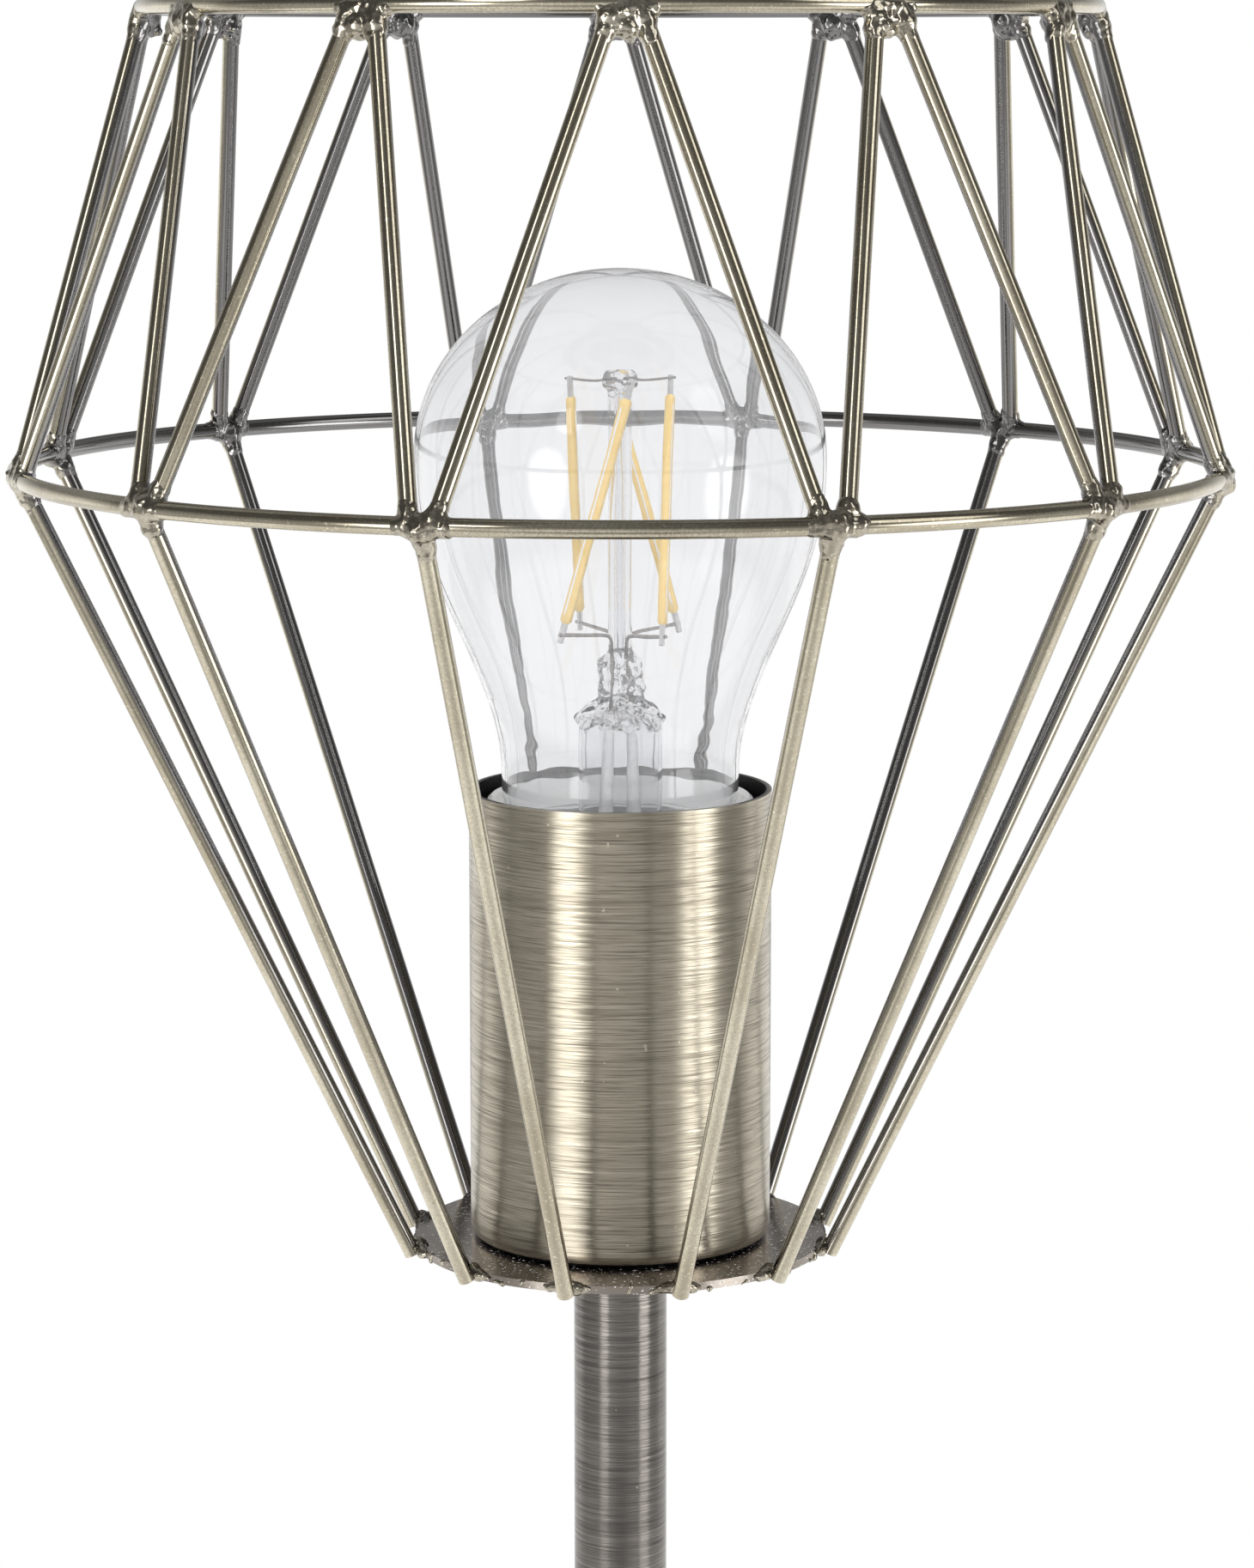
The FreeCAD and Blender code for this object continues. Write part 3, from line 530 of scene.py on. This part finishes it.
def mid_weld(i):
    """Balls of a middle-ring joint: collars on the spoke, the ring and both braces, a heap, and spatter."""
    angle = joint_angle(i)
    joint = spot_on(angle, MID_R, MID_Z)
    side = spot_on(angle + 90, 1, 0)
    foot = spot_on(foot_angle(i), PLATE_R + SPOKE_STANDOFF, PLATE_TOP_Z)
    balls = collar(joint, (foot - joint).normalized(), *MID_SPOKE_COLLAR)
    for hand in (-1, 1):
        balls += collar(joint, side * hand, *MID_RING_COLLAR)
        head = spot_on(foot_angle(i) + hand * STEP / 2 - hand * TOP_SPLAY, TOP_R, TOP_Z)
        tail = spot_on(angle + hand * MID_SPLAY, MID_R, MID_Z)
        balls += collar(tail, (head - tail).normalized(), *MID_BRACE_COLLAR)
    balls += lumps(joint, LUMP_SPREAD, 4, 1.5, 2.0)
    balls += droplets(joint, 2.2 * MM, 6, 0.4 * MM, 0.75 * MM)
    return balls


def foot_weld(i):
    """Balls at a spoke's foot: a heap, collars along the plate's rim, and spatter on the rim."""
    angle = foot_angle(i)
    rim = spot_on(angle, PLATE_R, PLATE_TOP_Z)
    side = spot_on(angle + 90, 1, 0)
    balls = lumps(rim, 0.5 * MM, 4, 0.8, 1.25)
    for hand in (-1, 1):
        balls += collar(rim - COLLAR_SINK, side * hand, *FOOT_RIM_COLLAR, FOOT_RIM_COLLAR_R)
    for _ in range(RIM_SPATTER):
        turn = angle + chance.uniform(-STEP / 2, STEP / 2)
        spot = spot_on(turn, PLATE_R - RIM_SPATTER_DEPTH, chance.uniform(PLATE_LOW_Z, PLATE_TOP_Z))
        balls.append((spot, chance.uniform(0.35, 0.6) * MM))
    return balls


top_joints = []
mid_joints = []
foot_joints = []
for i in range(JOINTS):
    top_joints.append(top_weld(i))
    mid_joints.append(mid_weld(i))
    foot_joints.append(foot_weld(i))
welds = (("top_beads", top_joints, "top_welds"), ("mid_beads", mid_joints, "mid_welds"),
         ("foot_beads", foot_joints, "plate_welds"))
for name, joints, node in welds:
    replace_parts(new_piece(name, beads(name, joints), weld_brass, "lamp"), node)


# Turned shapes
def lathe(bm, profile, segments, moved=None):
    """Surface turned from (radius, height) points, a pole where the radius is 0. Moved shifts each point."""
    rows = []
    for number, (radius, z) in enumerate(profile):
        count = segments if radius > 0 else 1
        row = []
        for i in range(count):
            spot = spot_on(360 * i / segments, radius, z)
            row.append(bm.verts.new(moved(spot, number) if moved else spot))
        rows.append(row)
    faces = []
    for one, two in zip(rows, rows[1:]):
        for i in range(segments):
            j = i + 1
            corners = [one[i % len(one)], one[j % len(one)], two[j % len(two)], two[i % len(two)]]
            corners = list(dict.fromkeys(corners))
            if len(corners) > 2:
                faces.append(bm.faces.new(corners))
    return faces


def close(bm, hollows=()):
    """Join the seams and turn every face out of the material, the walls of hollows inwards."""
    bmesh.ops.remove_doubles(bm, verts=bm.verts, dist=0.001 * MM)
    bmesh.ops.recalc_face_normals(bm, faces=bm.faces)
    bmesh.ops.reverse_faces(bm, faces=list(hollows))


def straight(first, last, count):
    """Evenly spaced points between two (radius, height) points."""
    points = []
    for i in range(1, count):
        t = i / count
        points.append((first[0] + (last[0] - first[0]) * t, first[1] + (last[1] - first[1]) * t))
    return points


def eased(first, last, count):
    """Points from one (radius, height) point to another along a soft S."""
    points = []
    for i in range(count + 1):
        t = i / count
        blend = (1 - math.cos(math.pi * t)) / 2
        points.append((first[0] + (last[0] - first[0]) * blend, first[1] + (last[1] - first[1]) * t))
    return points


# Bulb: blown glass
WIDEST_Z = CONTACT_Z + 80.2 * MM
WAIST_Z = CONTACT_Z + 33.5 * MM
NECK_R = 17.6 * MM
NECK_Z = CONTACT_Z + 31.5 * MM
THROAT_R = 13.3 * MM
THROAT_Z = CONTACT_Z + 25.8 * MM
NECK_END_R = 11.4 * MM
NECK_END_RUN = 2.0 * MM
GLASS_WALL = 0.7 * MM
GLASS_SEGMENTS = 160
DOME_ROWS = 32
SIDE_ROWS = 96
SIDE_LEAN = 1.13
THROAT_ROWS = 8


def glass_outline():
    """Outer profile from the top of the dome to the open end in the cap."""
    points = []
    for i in range(DOME_ROWS + 1):
        a = math.radians(90 * i / DOME_ROWS)
        points.append((BULB_R * math.sin(a), WIDEST_Z + (BULB_TOP_Z - WIDEST_Z) * math.cos(a)))
    for i in range(1, SIDE_ROWS + 1):
        t = i / SIDE_ROWS
        swell = (1 + math.cos(math.pi * t ** SIDE_LEAN)) / 2
        points.append((NECK_R + (BULB_R - NECK_R) * swell, WIDEST_Z + (WAIST_Z - WIDEST_Z) * t))
    for i in range(THROAT_ROWS + 1):
        a = math.radians(90 * i / THROAT_ROWS)
        radius = THROAT_R + (NECK_R - THROAT_R) * math.cos(a)
        points.append((radius, NECK_Z + (THROAT_Z - NECK_Z) * math.sin(a)))
    points.append((NECK_END_R, THROAT_Z - NECK_END_RUN))
    points.append((NECK_END_R, BULB_LOW_Z))
    return points


def inset(points, depth):
    """The profile moved in by the wall, square to itself."""
    moved = []
    for i, (radius, z) in enumerate(points):
        before = points[max(i - 1, 0)]
        after = points[min(i + 1, len(points) - 1)]
        run = Vector((after[0] - before[0], after[1] - before[1])).normalized()
        moved.append((max(radius + run.y * depth, 0.0), z - run.x * depth))
    moved[0] = (0.0, points[0][1] - depth)
    return moved


outline = glass_outline()

# Depths of the inner wall's ripples, and the sizes of their waves
RIPPLE_TOP = 0.004 * MM
RIPPLE_NECK = 0.03 * MM
RIPPLE_WAVE = 4 * MM
SWELL_DEPTH = 0.03 * MM
SWELL_WAVE = 9 * MM
POLE_CLEAR = 1 * MM


def wandering(spot, row):
    """Blown glass: the inside wall ripples, most of all towards the neck."""
    if row < len(outline):
        return spot
    out = Vector((spot.x, spot.y, 0))
    if out.length < POLE_CLEAR:
        return spot
    low = min(max((WIDEST_Z - spot.z) / (WIDEST_Z - WAIST_Z), 0.0), 1.0)
    depth = RIPPLE_TOP + RIPPLE_NECK * low ** 3
    ripple = depth * noise.noise(Vector((spot.x, spot.y, spot.z * 2)) / RIPPLE_WAVE)
    broad = noise.noise(spot / SWELL_WAVE) * SWELL_DEPTH
    return spot + out.normalized() * (broad + ripple)


bm = bmesh.new()
lathe(bm, outline + list(reversed(inset(outline, GLASS_WALL))), GLASS_SEGMENTS, wandering)
close(bm)
envelope = new_piece("glass_envelope", smooth_mesh("glass_envelope", bm), clear_glass, "bulb")
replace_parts(envelope, "bulb_glass")

# Bulb: pressed mount, with a flared tube, a lumpy pinch with bubbles, a hollow rod and a knob for the hooks
FOOT_R = 11.3 * MM
FLARE_R = 6.2 * MM
FLARE_WALL = 0.5 * MM
FLARE_TOP_Z = CONTACT_Z + 42.0 * MM
HOLLOW_WALL_Z = FLARE_TOP_Z - 2.0 * MM
HOLLOW_TOP_Z = FLARE_TOP_Z + 2.4 * MM
PINCH_R = 3.0 * MM
PINCH_LOW_Z = FLARE_TOP_Z - 1.5 * MM
PINCH_TOP_Z = FLARE_TOP_Z + 9.5 * MM
PINCH_WIDER = 0.12
PINCH_FLATTER = 0.3
ROD_R = 1.75 * MM
ROD_BORE_R = 0.55 * MM
HOOK_Z = CONTACT_Z + 91.7 * MM
KNOB_LOW_Z = HOOK_Z - 1.7 * MM
KNOB_HALF_H = 1.4 * MM
KNOB_SWELL = 0.9 * MM
KNOB_TAPER = 0.6 * MM
KNOB_ROWS = 10
KNOB_CROWN = 0.05 * MM
KNOB_WIDTH = 1.1
KNOB_DEPTH = 0.85
MOUNT_SEGMENTS = 96
BORE_SEGMENTS = 32
TUBE_ROWS = 40
ROD_ROWS = 60


def mount_outline():
    """Profile from the foot's underside over the outside to the top, then down the inside of the flare."""
    foot = BULB_LOW_Z
    neck = foot + FLARE_R
    inner_r = FLARE_R - FLARE_WALL
    shoulder = (FLARE_R, FLARE_TOP_Z - 0.6 * MM)
    pinch_low = (PINCH_R, FLARE_TOP_Z + 3.4 * MM)
    pinch_high = (PINCH_R, PINCH_TOP_Z - 1.2 * MM)
    rod_low = (ROD_R, PINCH_TOP_Z + 0.6 * MM)
    rod_high = (ROD_R, HOOK_Z - 1.6 * MM)
    roof = (0.8 * MM, FLARE_TOP_Z + 2.3 * MM)
    inner_high = (inner_r, HOLLOW_WALL_Z)
    points = [(FOOT_R, foot - FLARE_WALL), (FOOT_R, foot)]
    points += eased((FOOT_R - FLARE_WALL, foot), (FLARE_R, neck), 8)
    points += straight((FLARE_R, neck), shoulder, TUBE_ROWS)
    points += eased(shoulder, pinch_low, 22)
    points += straight(pinch_low, pinch_high, 16)
    points += eased(pinch_high, rod_low, 8)
    points += straight(rod_low, rod_high, ROD_ROWS)
    points.append(rod_high)
    for i in range(1, KNOB_ROWS):
        a = math.radians(180 * i / KNOB_ROWS)
        radius = ROD_R + KNOB_SWELL * math.sin(a) ** 0.6 - KNOB_TAPER * i / KNOB_ROWS
        points.append((radius, HOOK_Z - KNOB_HALF_H * math.cos(a)))
    points.append((0, HOOK_Z + KNOB_HALF_H + KNOB_CROWN))
    points.append((0, HOLLOW_TOP_Z))
    points += eased(roof, inner_high, 30)
    points += straight(inner_high, (inner_r, neck), TUBE_ROWS)
    points += eased((inner_r, neck), (FOOT_R - 2 * FLARE_WALL, foot), 8)
    points += [(FOOT_R - FLARE_WALL, foot - FLARE_WALL), (FOOT_R, foot - FLARE_WALL)]
    return points


mount_line = mount_outline()
INNER_ROW = mount_line.index((0, HOLLOW_TOP_Z))
CRUMPLE_SEED = 7
CRUMPLE_DEPTH = 0.75
CRUMPLE_WAVE = 1.3 * MM
LUMP_WAVE = 1.9 * MM
SMALL_LUMP_WAVE = 0.9 * MM


def pressed(spot, row):
    """The pinch is flattened and lumpy, its underside crumpled, and the knob lies level with its wires."""
    reach = (spot.z - PINCH_LOW_Z) / (PINCH_TOP_Z - PINCH_LOW_Z)
    grip = max(0.0, 1 - (2 * reach - 1) ** 4)
    out = Vector((spot.x, spot.y, 0))
    if row > INNER_ROW:
        ease = min(max((spot.z - HOLLOW_WALL_Z) / MM, 0.0), 1.0)
        return spot + noise.noise_vector(spot / CRUMPLE_WAVE) * CRUMPLE_DEPTH * ease * MM
    if grip > 0 and out.length > 0:
        lumpy = noise.noise(spot / LUMP_WAVE) * 0.7 + noise.noise(spot / SMALL_LUMP_WAVE) * 0.35
        flat = Vector((spot.x * (1 + PINCH_WIDER * grip), spot.y * (1 - PINCH_FLATTER * grip), spot.z))
        return flat + out.normalized() * lumpy * grip * MM
    if spot.z > KNOB_LOW_Z:
        return Vector((spot.x * KNOB_WIDTH, spot.y * KNOB_DEPTH, spot.z))
    return spot


def rod_bore():
    """Profile of the closed hollow in the rod."""
    bore_low = (ROD_BORE_R, PINCH_TOP_Z + 0.4 * MM)
    bore_high = (ROD_BORE_R, HOOK_Z - 2.4 * MM)
    wall = straight(bore_low, bore_high, ROD_ROWS)
    return [(0, PINCH_TOP_Z - 1.0 * MM), bore_low, *wall, bore_high, (0, KNOB_LOW_Z)]


BUBBLES = 14


def bubble(bm):
    """A stretched bubble at a chance place in the pinch, given as its faces."""
    turn = chance.uniform(0, 360)
    spot = spot_on(turn, chance.uniform(0.6, 1.6) * MM, FLARE_TOP_Z + chance.uniform(3.6, 8.2) * MM)
    size = chance.uniform(0.18, 0.42) * MM
    stretch = Matrix.Diagonal((1, 0.8, chance.uniform(1.0, 2.2), 1))
    set_at = Matrix.Translation(spot) @ stretch
    made = bmesh.ops.create_icosphere(bm, subdivisions=3, radius=size, matrix=set_at)
    return list({face for vertex in made["verts"] for face in vertex.link_faces})


# Without a seed, noise_vector starts from the clock and each run crumples the glass another way
noise.seed_set(CRUMPLE_SEED)
bm = bmesh.new()
lathe(bm, mount_line, MOUNT_SEGMENTS, pressed)
hollows = lathe(bm, rod_bore(), BORE_SEGMENTS)
for _ in range(BUBBLES):
    hollows += bubble(bm)
close(bm, hollows)
mount = new_piece("pressed_mount", smooth_mesh("pressed_mount", bm), mount_glass, "bulb")
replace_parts(mount, "glass_mount")


# Bulb: filament sticks with their pale backing strips, end tabs and wires
def add_wire(bm, points, radius):
    """Round wire along a smooth line through the given points."""
    curve = bpy.data.curves.new("wire", "CURVE")
    curve.dimensions = "3D"
    curve.bevel_depth = radius
    curve.bevel_resolution = 3
    curve.use_fill_caps = True
    spline = curve.splines.new("NURBS")
    spline.points.add(len(points) - 1)
    for point, spot in zip(spline.points, points):
        point.co = (*spot, 1)
    spline.order_u = 3
    spline.use_endpoint_u = True
    spline.resolution_u = 8
    source = bpy.data.objects.new("wire", curve)
    mesh = bpy.data.meshes.new_from_object(source)
    bm.from_mesh(mesh)
    bpy.data.objects.remove(source)


BAR_STEPS = 40
BAR_CORNERS = 16
BAR_SQUARENESS = 0.6
BAR_WAVE = 1.5 * MM


def squared(value):
    """A cosine or sine drawn towards a square's, with its sign."""
    return math.copysign(abs(value) ** BAR_SQUARENESS, value)


def add_bar(bm, centre, way, side, length, width, depth, rounding, wander=0.0):
    """Bar along way with rounded edges and ends, its width along side, made of rings of points."""
    face = way.cross(side).normalized()
    rings = []
    for i in range(BAR_STEPS + 1):
        t = i / BAR_STEPS
        run = (t - 0.5) * length
        near = min(run + length / 2, length / 2 - run)
        taper = math.sqrt(max(1 - (1 - min(near / rounding, 1)) ** 2, 0.02))
        ring = []
        for j in range(BAR_CORNERS):
            a = math.radians(360 * j / BAR_CORNERS)
            u = squared(math.cos(a)) * width / 2 * taper
            v = squared(math.sin(a)) * depth / 2 * taper
            spot = centre + way * run + side * u + face * v
            swell = 1 + wander * noise.noise(spot / BAR_WAVE)
            ring.append(bm.verts.new(centre + way * run + (side * u + face * v) * swell))
        rings.append(ring)
    faces = [bm.faces.new(rings[0]), bm.faces.new(rings[-1])]
    for one, two in zip(rings, rings[1:]):
        for j in range(BAR_CORNERS):
            k = (j + 1) % BAR_CORNERS
            faces.append(bm.faces.new((one[j], one[k], two[k], two[j])))
    bmesh.ops.recalc_face_normals(bm, faces=faces)


# Filament sticks, by the places of their ends and their turns in degrees
FILAMENTS = 4
STICK_TOP_R = 7.4 * MM
STICK_LOW_R = 10.2 * MM
STICK_TOP_Z = CONTACT_Z + 89.7 * MM
STICK_LOW_Z = CONTACT_Z + 56.1 * MM
STICK_PHASE = 98
STICK_TWIST = 62
STICK_W = 1.6 * MM
STICK_T = 1.3 * MM
STICK_ROUNDING = 0.7 * MM
STICK_WANDER = 0.06

# Backing strips, on the front and back of a stick
STRIP_W = 0.28 * MM
STRIP_T = 0.12 * MM
STRIP_ROUNDING = 0.2 * MM
STRIP_OUT = 0.62 * MM
STRIP_ASIDE = 0.25 * MM
STRIP_SHORT = 3.0 * MM

# End tabs
TAB_LEN = 3.4 * MM
TAB_W = 0.95 * MM
TAB_T = 0.75 * MM
TAB_ROUNDING = 0.1 * MM
TAB_OUT = 0.9 * MM

# Wires, by distance from the axis and height in millimetres, from the knob's middle or the lead arms' height
HOOK_R = 0.2 * MM
HOOK_LINE = ((0.4, 0), (2.0, 0.05), (3.2, -0.25), (5.6, -0.1), (7.0, 0.1), (8.2, 0.15))
HOOK_LIFT = 0.35 * MM
LEAD_R = 0.28 * MM
LEAD_LINE = ((1.3, -4.2), (1.4, -2.6), (1.7, -0.9), (3.0, -0.5), (6.5, -0.35), (9.6, 0.0), (11.1, 0.1))
ARM_Z = STICK_LOW_Z - 1.3 * MM
FEED_TOP_R = 1.3 * MM
FEED_TOP_DROP = 4.0 * MM
FEED_LOW_R = 3.3 * MM

sticks = bmesh.new()
strips = bmesh.new()
tabs = bmesh.new()
hooks = bmesh.new()
leads = bmesh.new()
for i in range(FILAMENTS):
    top_angle = STICK_PHASE + 360 / FILAMENTS * i
    low_angle = top_angle - STICK_TWIST
    top = spot_on(top_angle, STICK_TOP_R, STICK_TOP_Z)
    tail = spot_on(low_angle, STICK_LOW_R, STICK_LOW_Z)
    way = (tail - top).normalized()
    out = spot_on((top_angle + low_angle) / 2, 1, 0)
    side = way.cross(out).normalized()
    face = way.cross(side).normalized()
    centre = (top + tail) / 2
    length = (tail - top).length
    add_bar(sticks, centre, way, side, length, STICK_W, STICK_T, STICK_ROUNDING, STICK_WANDER)
    for hand in (-1, 1):
        backing = centre + face * hand * STRIP_OUT + side * STRIP_ASIDE
        add_bar(strips, backing, way, side, length - STRIP_SHORT, STRIP_W, STRIP_T, STRIP_ROUNDING)
    for end, hand in ((top, -1), (tail, 1)):
        add_bar(tabs, end + way * hand * TAB_OUT, way, side, TAB_LEN, TAB_W, TAB_T, TAB_ROUNDING)
    lift = HOOK_LIFT * (i % 2)
    add_wire(hooks, [spot_on(top_angle, r * MM, HOOK_Z + z * MM - lift) for r, z in HOOK_LINE], HOOK_R)
    add_wire(leads, [spot_on(low_angle, r * MM, ARM_Z + z * MM) for r, z in LEAD_LINE], LEAD_R)
    if i % 2 == 1:
        head = spot_on(low_angle, FEED_TOP_R, ARM_Z - FEED_TOP_DROP)
        foot = spot_on(low_angle, FEED_LOW_R, LEAD_LOW_Z)
        add_wire(leads, [head, head.lerp(foot, 0.5), foot], LEAD_R)
bulb_pieces = (("filament_sticks", sticks, filament_amber, "filament_amber", "filaments"),
               ("hook_wires", hooks, lead_steel, "lead_steel", "filament_hooks"),
               ("feed_wires", leads, lead_steel, "lead_steel", "lead_wires"),
               ("filament_strips", strips, sleeve_white, "sleeve_white", None),
               ("filament_tabs", tabs, tab_silver, "lead_steel", None))
for name, bm, finish, slot, node in bulb_pieces:
    piece = new_piece(name, smooth_mesh(name, bm), finish, "bulb")
    if node:
        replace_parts(piece, node)


# Studio: world, softboxes, fill lights and floor
def ray_is(tree, *names):
    """1 for the named kinds of ray, else 0."""
    path = add(tree, "LightPath")
    total = path.outputs[names[0]]
    for name in names[1:]:
        total = maths(tree, "MAXIMUM", total, path.outputs[name])
    return total


def soft_edge(tree, value, start, end):
    """1 below start, 0 above end, eased between."""
    inputs = {"Value": value, 1: start, 2: end, 3: 1.0, 4: 0.0}
    return add(tree, "MapRange", inputs, interpolation_type="SMOOTHSTEP").outputs[0]


def turn_of(tree, x, y):
    """Turn from the front in radians, to the right positive."""
    return maths(tree, "ARCTAN2", x, maths(tree, "MULTIPLY", y, -1.0))


# Brightness that polished metal sees at each turn from the front, in degrees, to the right positive
SURROUND = ((-180, 0.60), (-160, 1.15), (-118, 1.15), (-104, 0.40), (-62, 0.44), (-22, 0.92), (0, 0.76),
            (20, 0.58), (45, 0.48), (80, 0.40), (104, 0.40), (117, 1.10), (160, 1.10), (180, 0.60))

# Soft ovals of light in it: turn from the front, half width, lowest and highest rise in degrees, radiance
SOFTBOXES = ((-41, 11, -19, 11, 4.0), (61, 14, -23, 5, 3.9), (60, 14, 14, 46, 1.8), (-32, 8, 21, 37, 3.6))


def oval(tree, turn, rise, degrees, half, low, high):
    """1 in the middle of a soft oval of the world, 0 outside it."""
    half_width = math.radians(half)
    half_height = math.radians(high - low) / 2
    across = maths(tree, "SUBTRACT", turn, math.radians(degrees))
    across = maths(tree, "MULTIPLY", across, 1 / half_width)
    upright = maths(tree, "SUBTRACT", rise, math.radians(middle(low, high)))
    upright = maths(tree, "MULTIPLY", upright, 1 / half_height)
    across = maths(tree, "MULTIPLY", across, across)
    upright = maths(tree, "MULTIPLY", upright, upright)
    return soft_edge(tree, maths(tree, "ADD", across, upright), 0.55, 1.45)


def make_world():
    """White to look at, and a surround with softboxes to the metal and to the light on the lamp."""
    world = bpy.data.worlds.new("studio")
    world.use_nodes = True
    tree = world.node_tree
    spot = add(tree, "SeparateXYZ", {0: add(tree, "TexCoord").outputs["Generated"]}).outputs
    turn = turn_of(tree, spot[0], spot[1])
    ramp = add(tree, "ValToRGB", {0: remap(tree, turn, -math.pi, math.pi)})
    stops = ramp.color_ramp.elements
    while len(stops) < len(SURROUND):
        stops.new(0.5)
    for stop, (degrees, level) in zip(stops, SURROUND):
        stop.position = degrees / 360 + 0.5
        stop.color = (level, level, level, 1)
    overhead = remap(tree, spot[2], -0.1, 0.3, 1.0, 0.25)
    seen = maths(tree, "MULTIPLY", ramp.outputs[0], overhead)
    rise = maths(tree, "ARCSINE", spot[2])
    for degrees, half, low, high, radiance in SOFTBOXES:
        patch = oval(tree, turn, rise, degrees, half, low, high)
        seen = maths(tree, "ADD", seen, maths(tree, "MULTIPLY", patch, radiance))
    direct = ray_is(tree, "Is Camera Ray", "Is Transmission Ray")
    level = add(tree, "Mix", {0: direct, 2: seen, 3: 1.0}).outputs[0]
    backdrop = tree.nodes["Background"]
    backdrop.inputs["Color"].default_value = (1, 1, 1, 1)
    tree.links.new(level, backdrop.inputs["Strength"])
    bpy.context.scene.world = world


make_world()

FILL_SIZE = 0.9


def fill_light(name, spot, lean, radiance):
    """Soft light for the matt surfaces alone. The lean is in degrees from straight down."""
    light = bpy.data.lights.new(name, "AREA")
    light.shape = "SQUARE"
    light.size = FILL_SIZE
    light.energy = radiance * math.pi * FILL_SIZE ** 2
    lamp = bpy.data.objects.new(name, light)
    lamp.location = spot
    lamp.rotation_euler = (math.radians(lean), 0, 0)
    lamp.visible_camera = False
    lamp.visible_transmission = False
    lamp.visible_glossy = False
    bpy.context.scene.collection.objects.link(lamp)


fill_light("ceiling", (0, -0.25, TOP_Z + 1.0), 0, 2.4)
fill_light("front", (0, -1.3, MID_Z + 0.35), 75, 2.5)

FLOOR_R = 1.0
FLOOR_DROP = 0.1 * MM
FLOOR_GREY = (0.82, 0.82, 0.82)
POOL_TURN = 61
POOL_LIGHT = 0.7


def floor_glow(tree, spot, away):
    """Light that metal sees in the table, by distance from the lamp: its front, a bright pool, its back."""
    aside = maths(tree, "ABSOLUTE", spot[0])
    centre = remap(tree, away, 0.28, 0.46, 0.9, 0.42)
    front = add(tree, "Mix", {0: remap(tree, aside, 0.06, 0.3), 2: centre, 3: 1.2}).outputs[0]
    front = maths(tree, "MULTIPLY", front, remap(tree, away, 0.52, 0.68, 1.0, 0.3))
    front = maths(tree, "MAXIMUM", front, remap(tree, away, 0.7, FLOOR_R, 0.3, 0.7))
    turn = turn_of(tree, spot[0], spot[1])
    beside = maths(tree, "ABSOLUTE", maths(tree, "SUBTRACT", turn, math.radians(POOL_TURN)))
    pool = soft_edge(tree, beside, math.radians(7), math.radians(15))
    pool = maths(tree, "MULTIPLY", pool, remap(tree, away, 0.45, 0.6))
    front = maths(tree, "ADD", front, maths(tree, "MULTIPLY", pool, POOL_LIGHT))
    back = remap(tree, spot[1], 0.05, 0.35, 0.32, 0.9)
    return add(tree, "Emission", {"Strength": maths(tree, "MAXIMUM", front, back)})


def floor_finish():
    """Pale near the lamp with its shadow, white further out, and clear from below."""
    made = bpy.data.materials.new("floor")
    made.use_nodes = True
    made.cycles.emission_sampling = "NONE"
    tree = made.node_tree
    spot = add(tree, "TexCoord").outputs["Object"]
    away = add(tree, "VectorMath", {0: spot}, operation="LENGTH").outputs["Value"]
    glow = floor_glow(tree, add(tree, "SeparateXYZ", {0: spot}).outputs, away)
    diffuse = add(tree, "BsdfDiffuse", {"Color": rgba(FLOOR_GREY)})
    white = add(tree, "Emission", {"Strength": 1.0})
    direct = ray_is(tree, "Is Camera Ray", "Is Transmission Ray")
    far = maths(tree, "MULTIPLY", direct, remap(tree, away, 0.09, 0.32))
    lit = add(tree, "MixShader", {0: far, 1: diffuse.outputs[0], 2: white.outputs[0]})
    glossy = ray_is(tree, "Is Glossy Ray")
    seen = add(tree, "MixShader", {0: glossy, 1: lit.outputs[0], 2: glow.outputs[0]})
    below = add(tree, "NewGeometry").outputs["Backfacing"]
    clear = add(tree, "BsdfTransparent")
    show(tree, add(tree, "MixShader", {0: below, 1: seen.outputs[0], 2: clear.outputs[0]}))
    return made


def make_floor():
    """White table that shows the lamp's shadow, seen from above only."""
    bm = bmesh.new()
    bmesh.ops.create_circle(bm, cap_ends=True, radius=FLOOR_R, segments=96)
    mesh = bpy.data.meshes.new("floor")
    bm.to_mesh(mesh)
    bm.free()
    floor = bpy.data.objects.new("floor", mesh)
    floor.location.z = -FLOOR_DROP
    bpy.context.scene.collection.objects.link(floor)
    mesh.materials.append(floor_finish())


make_floor()
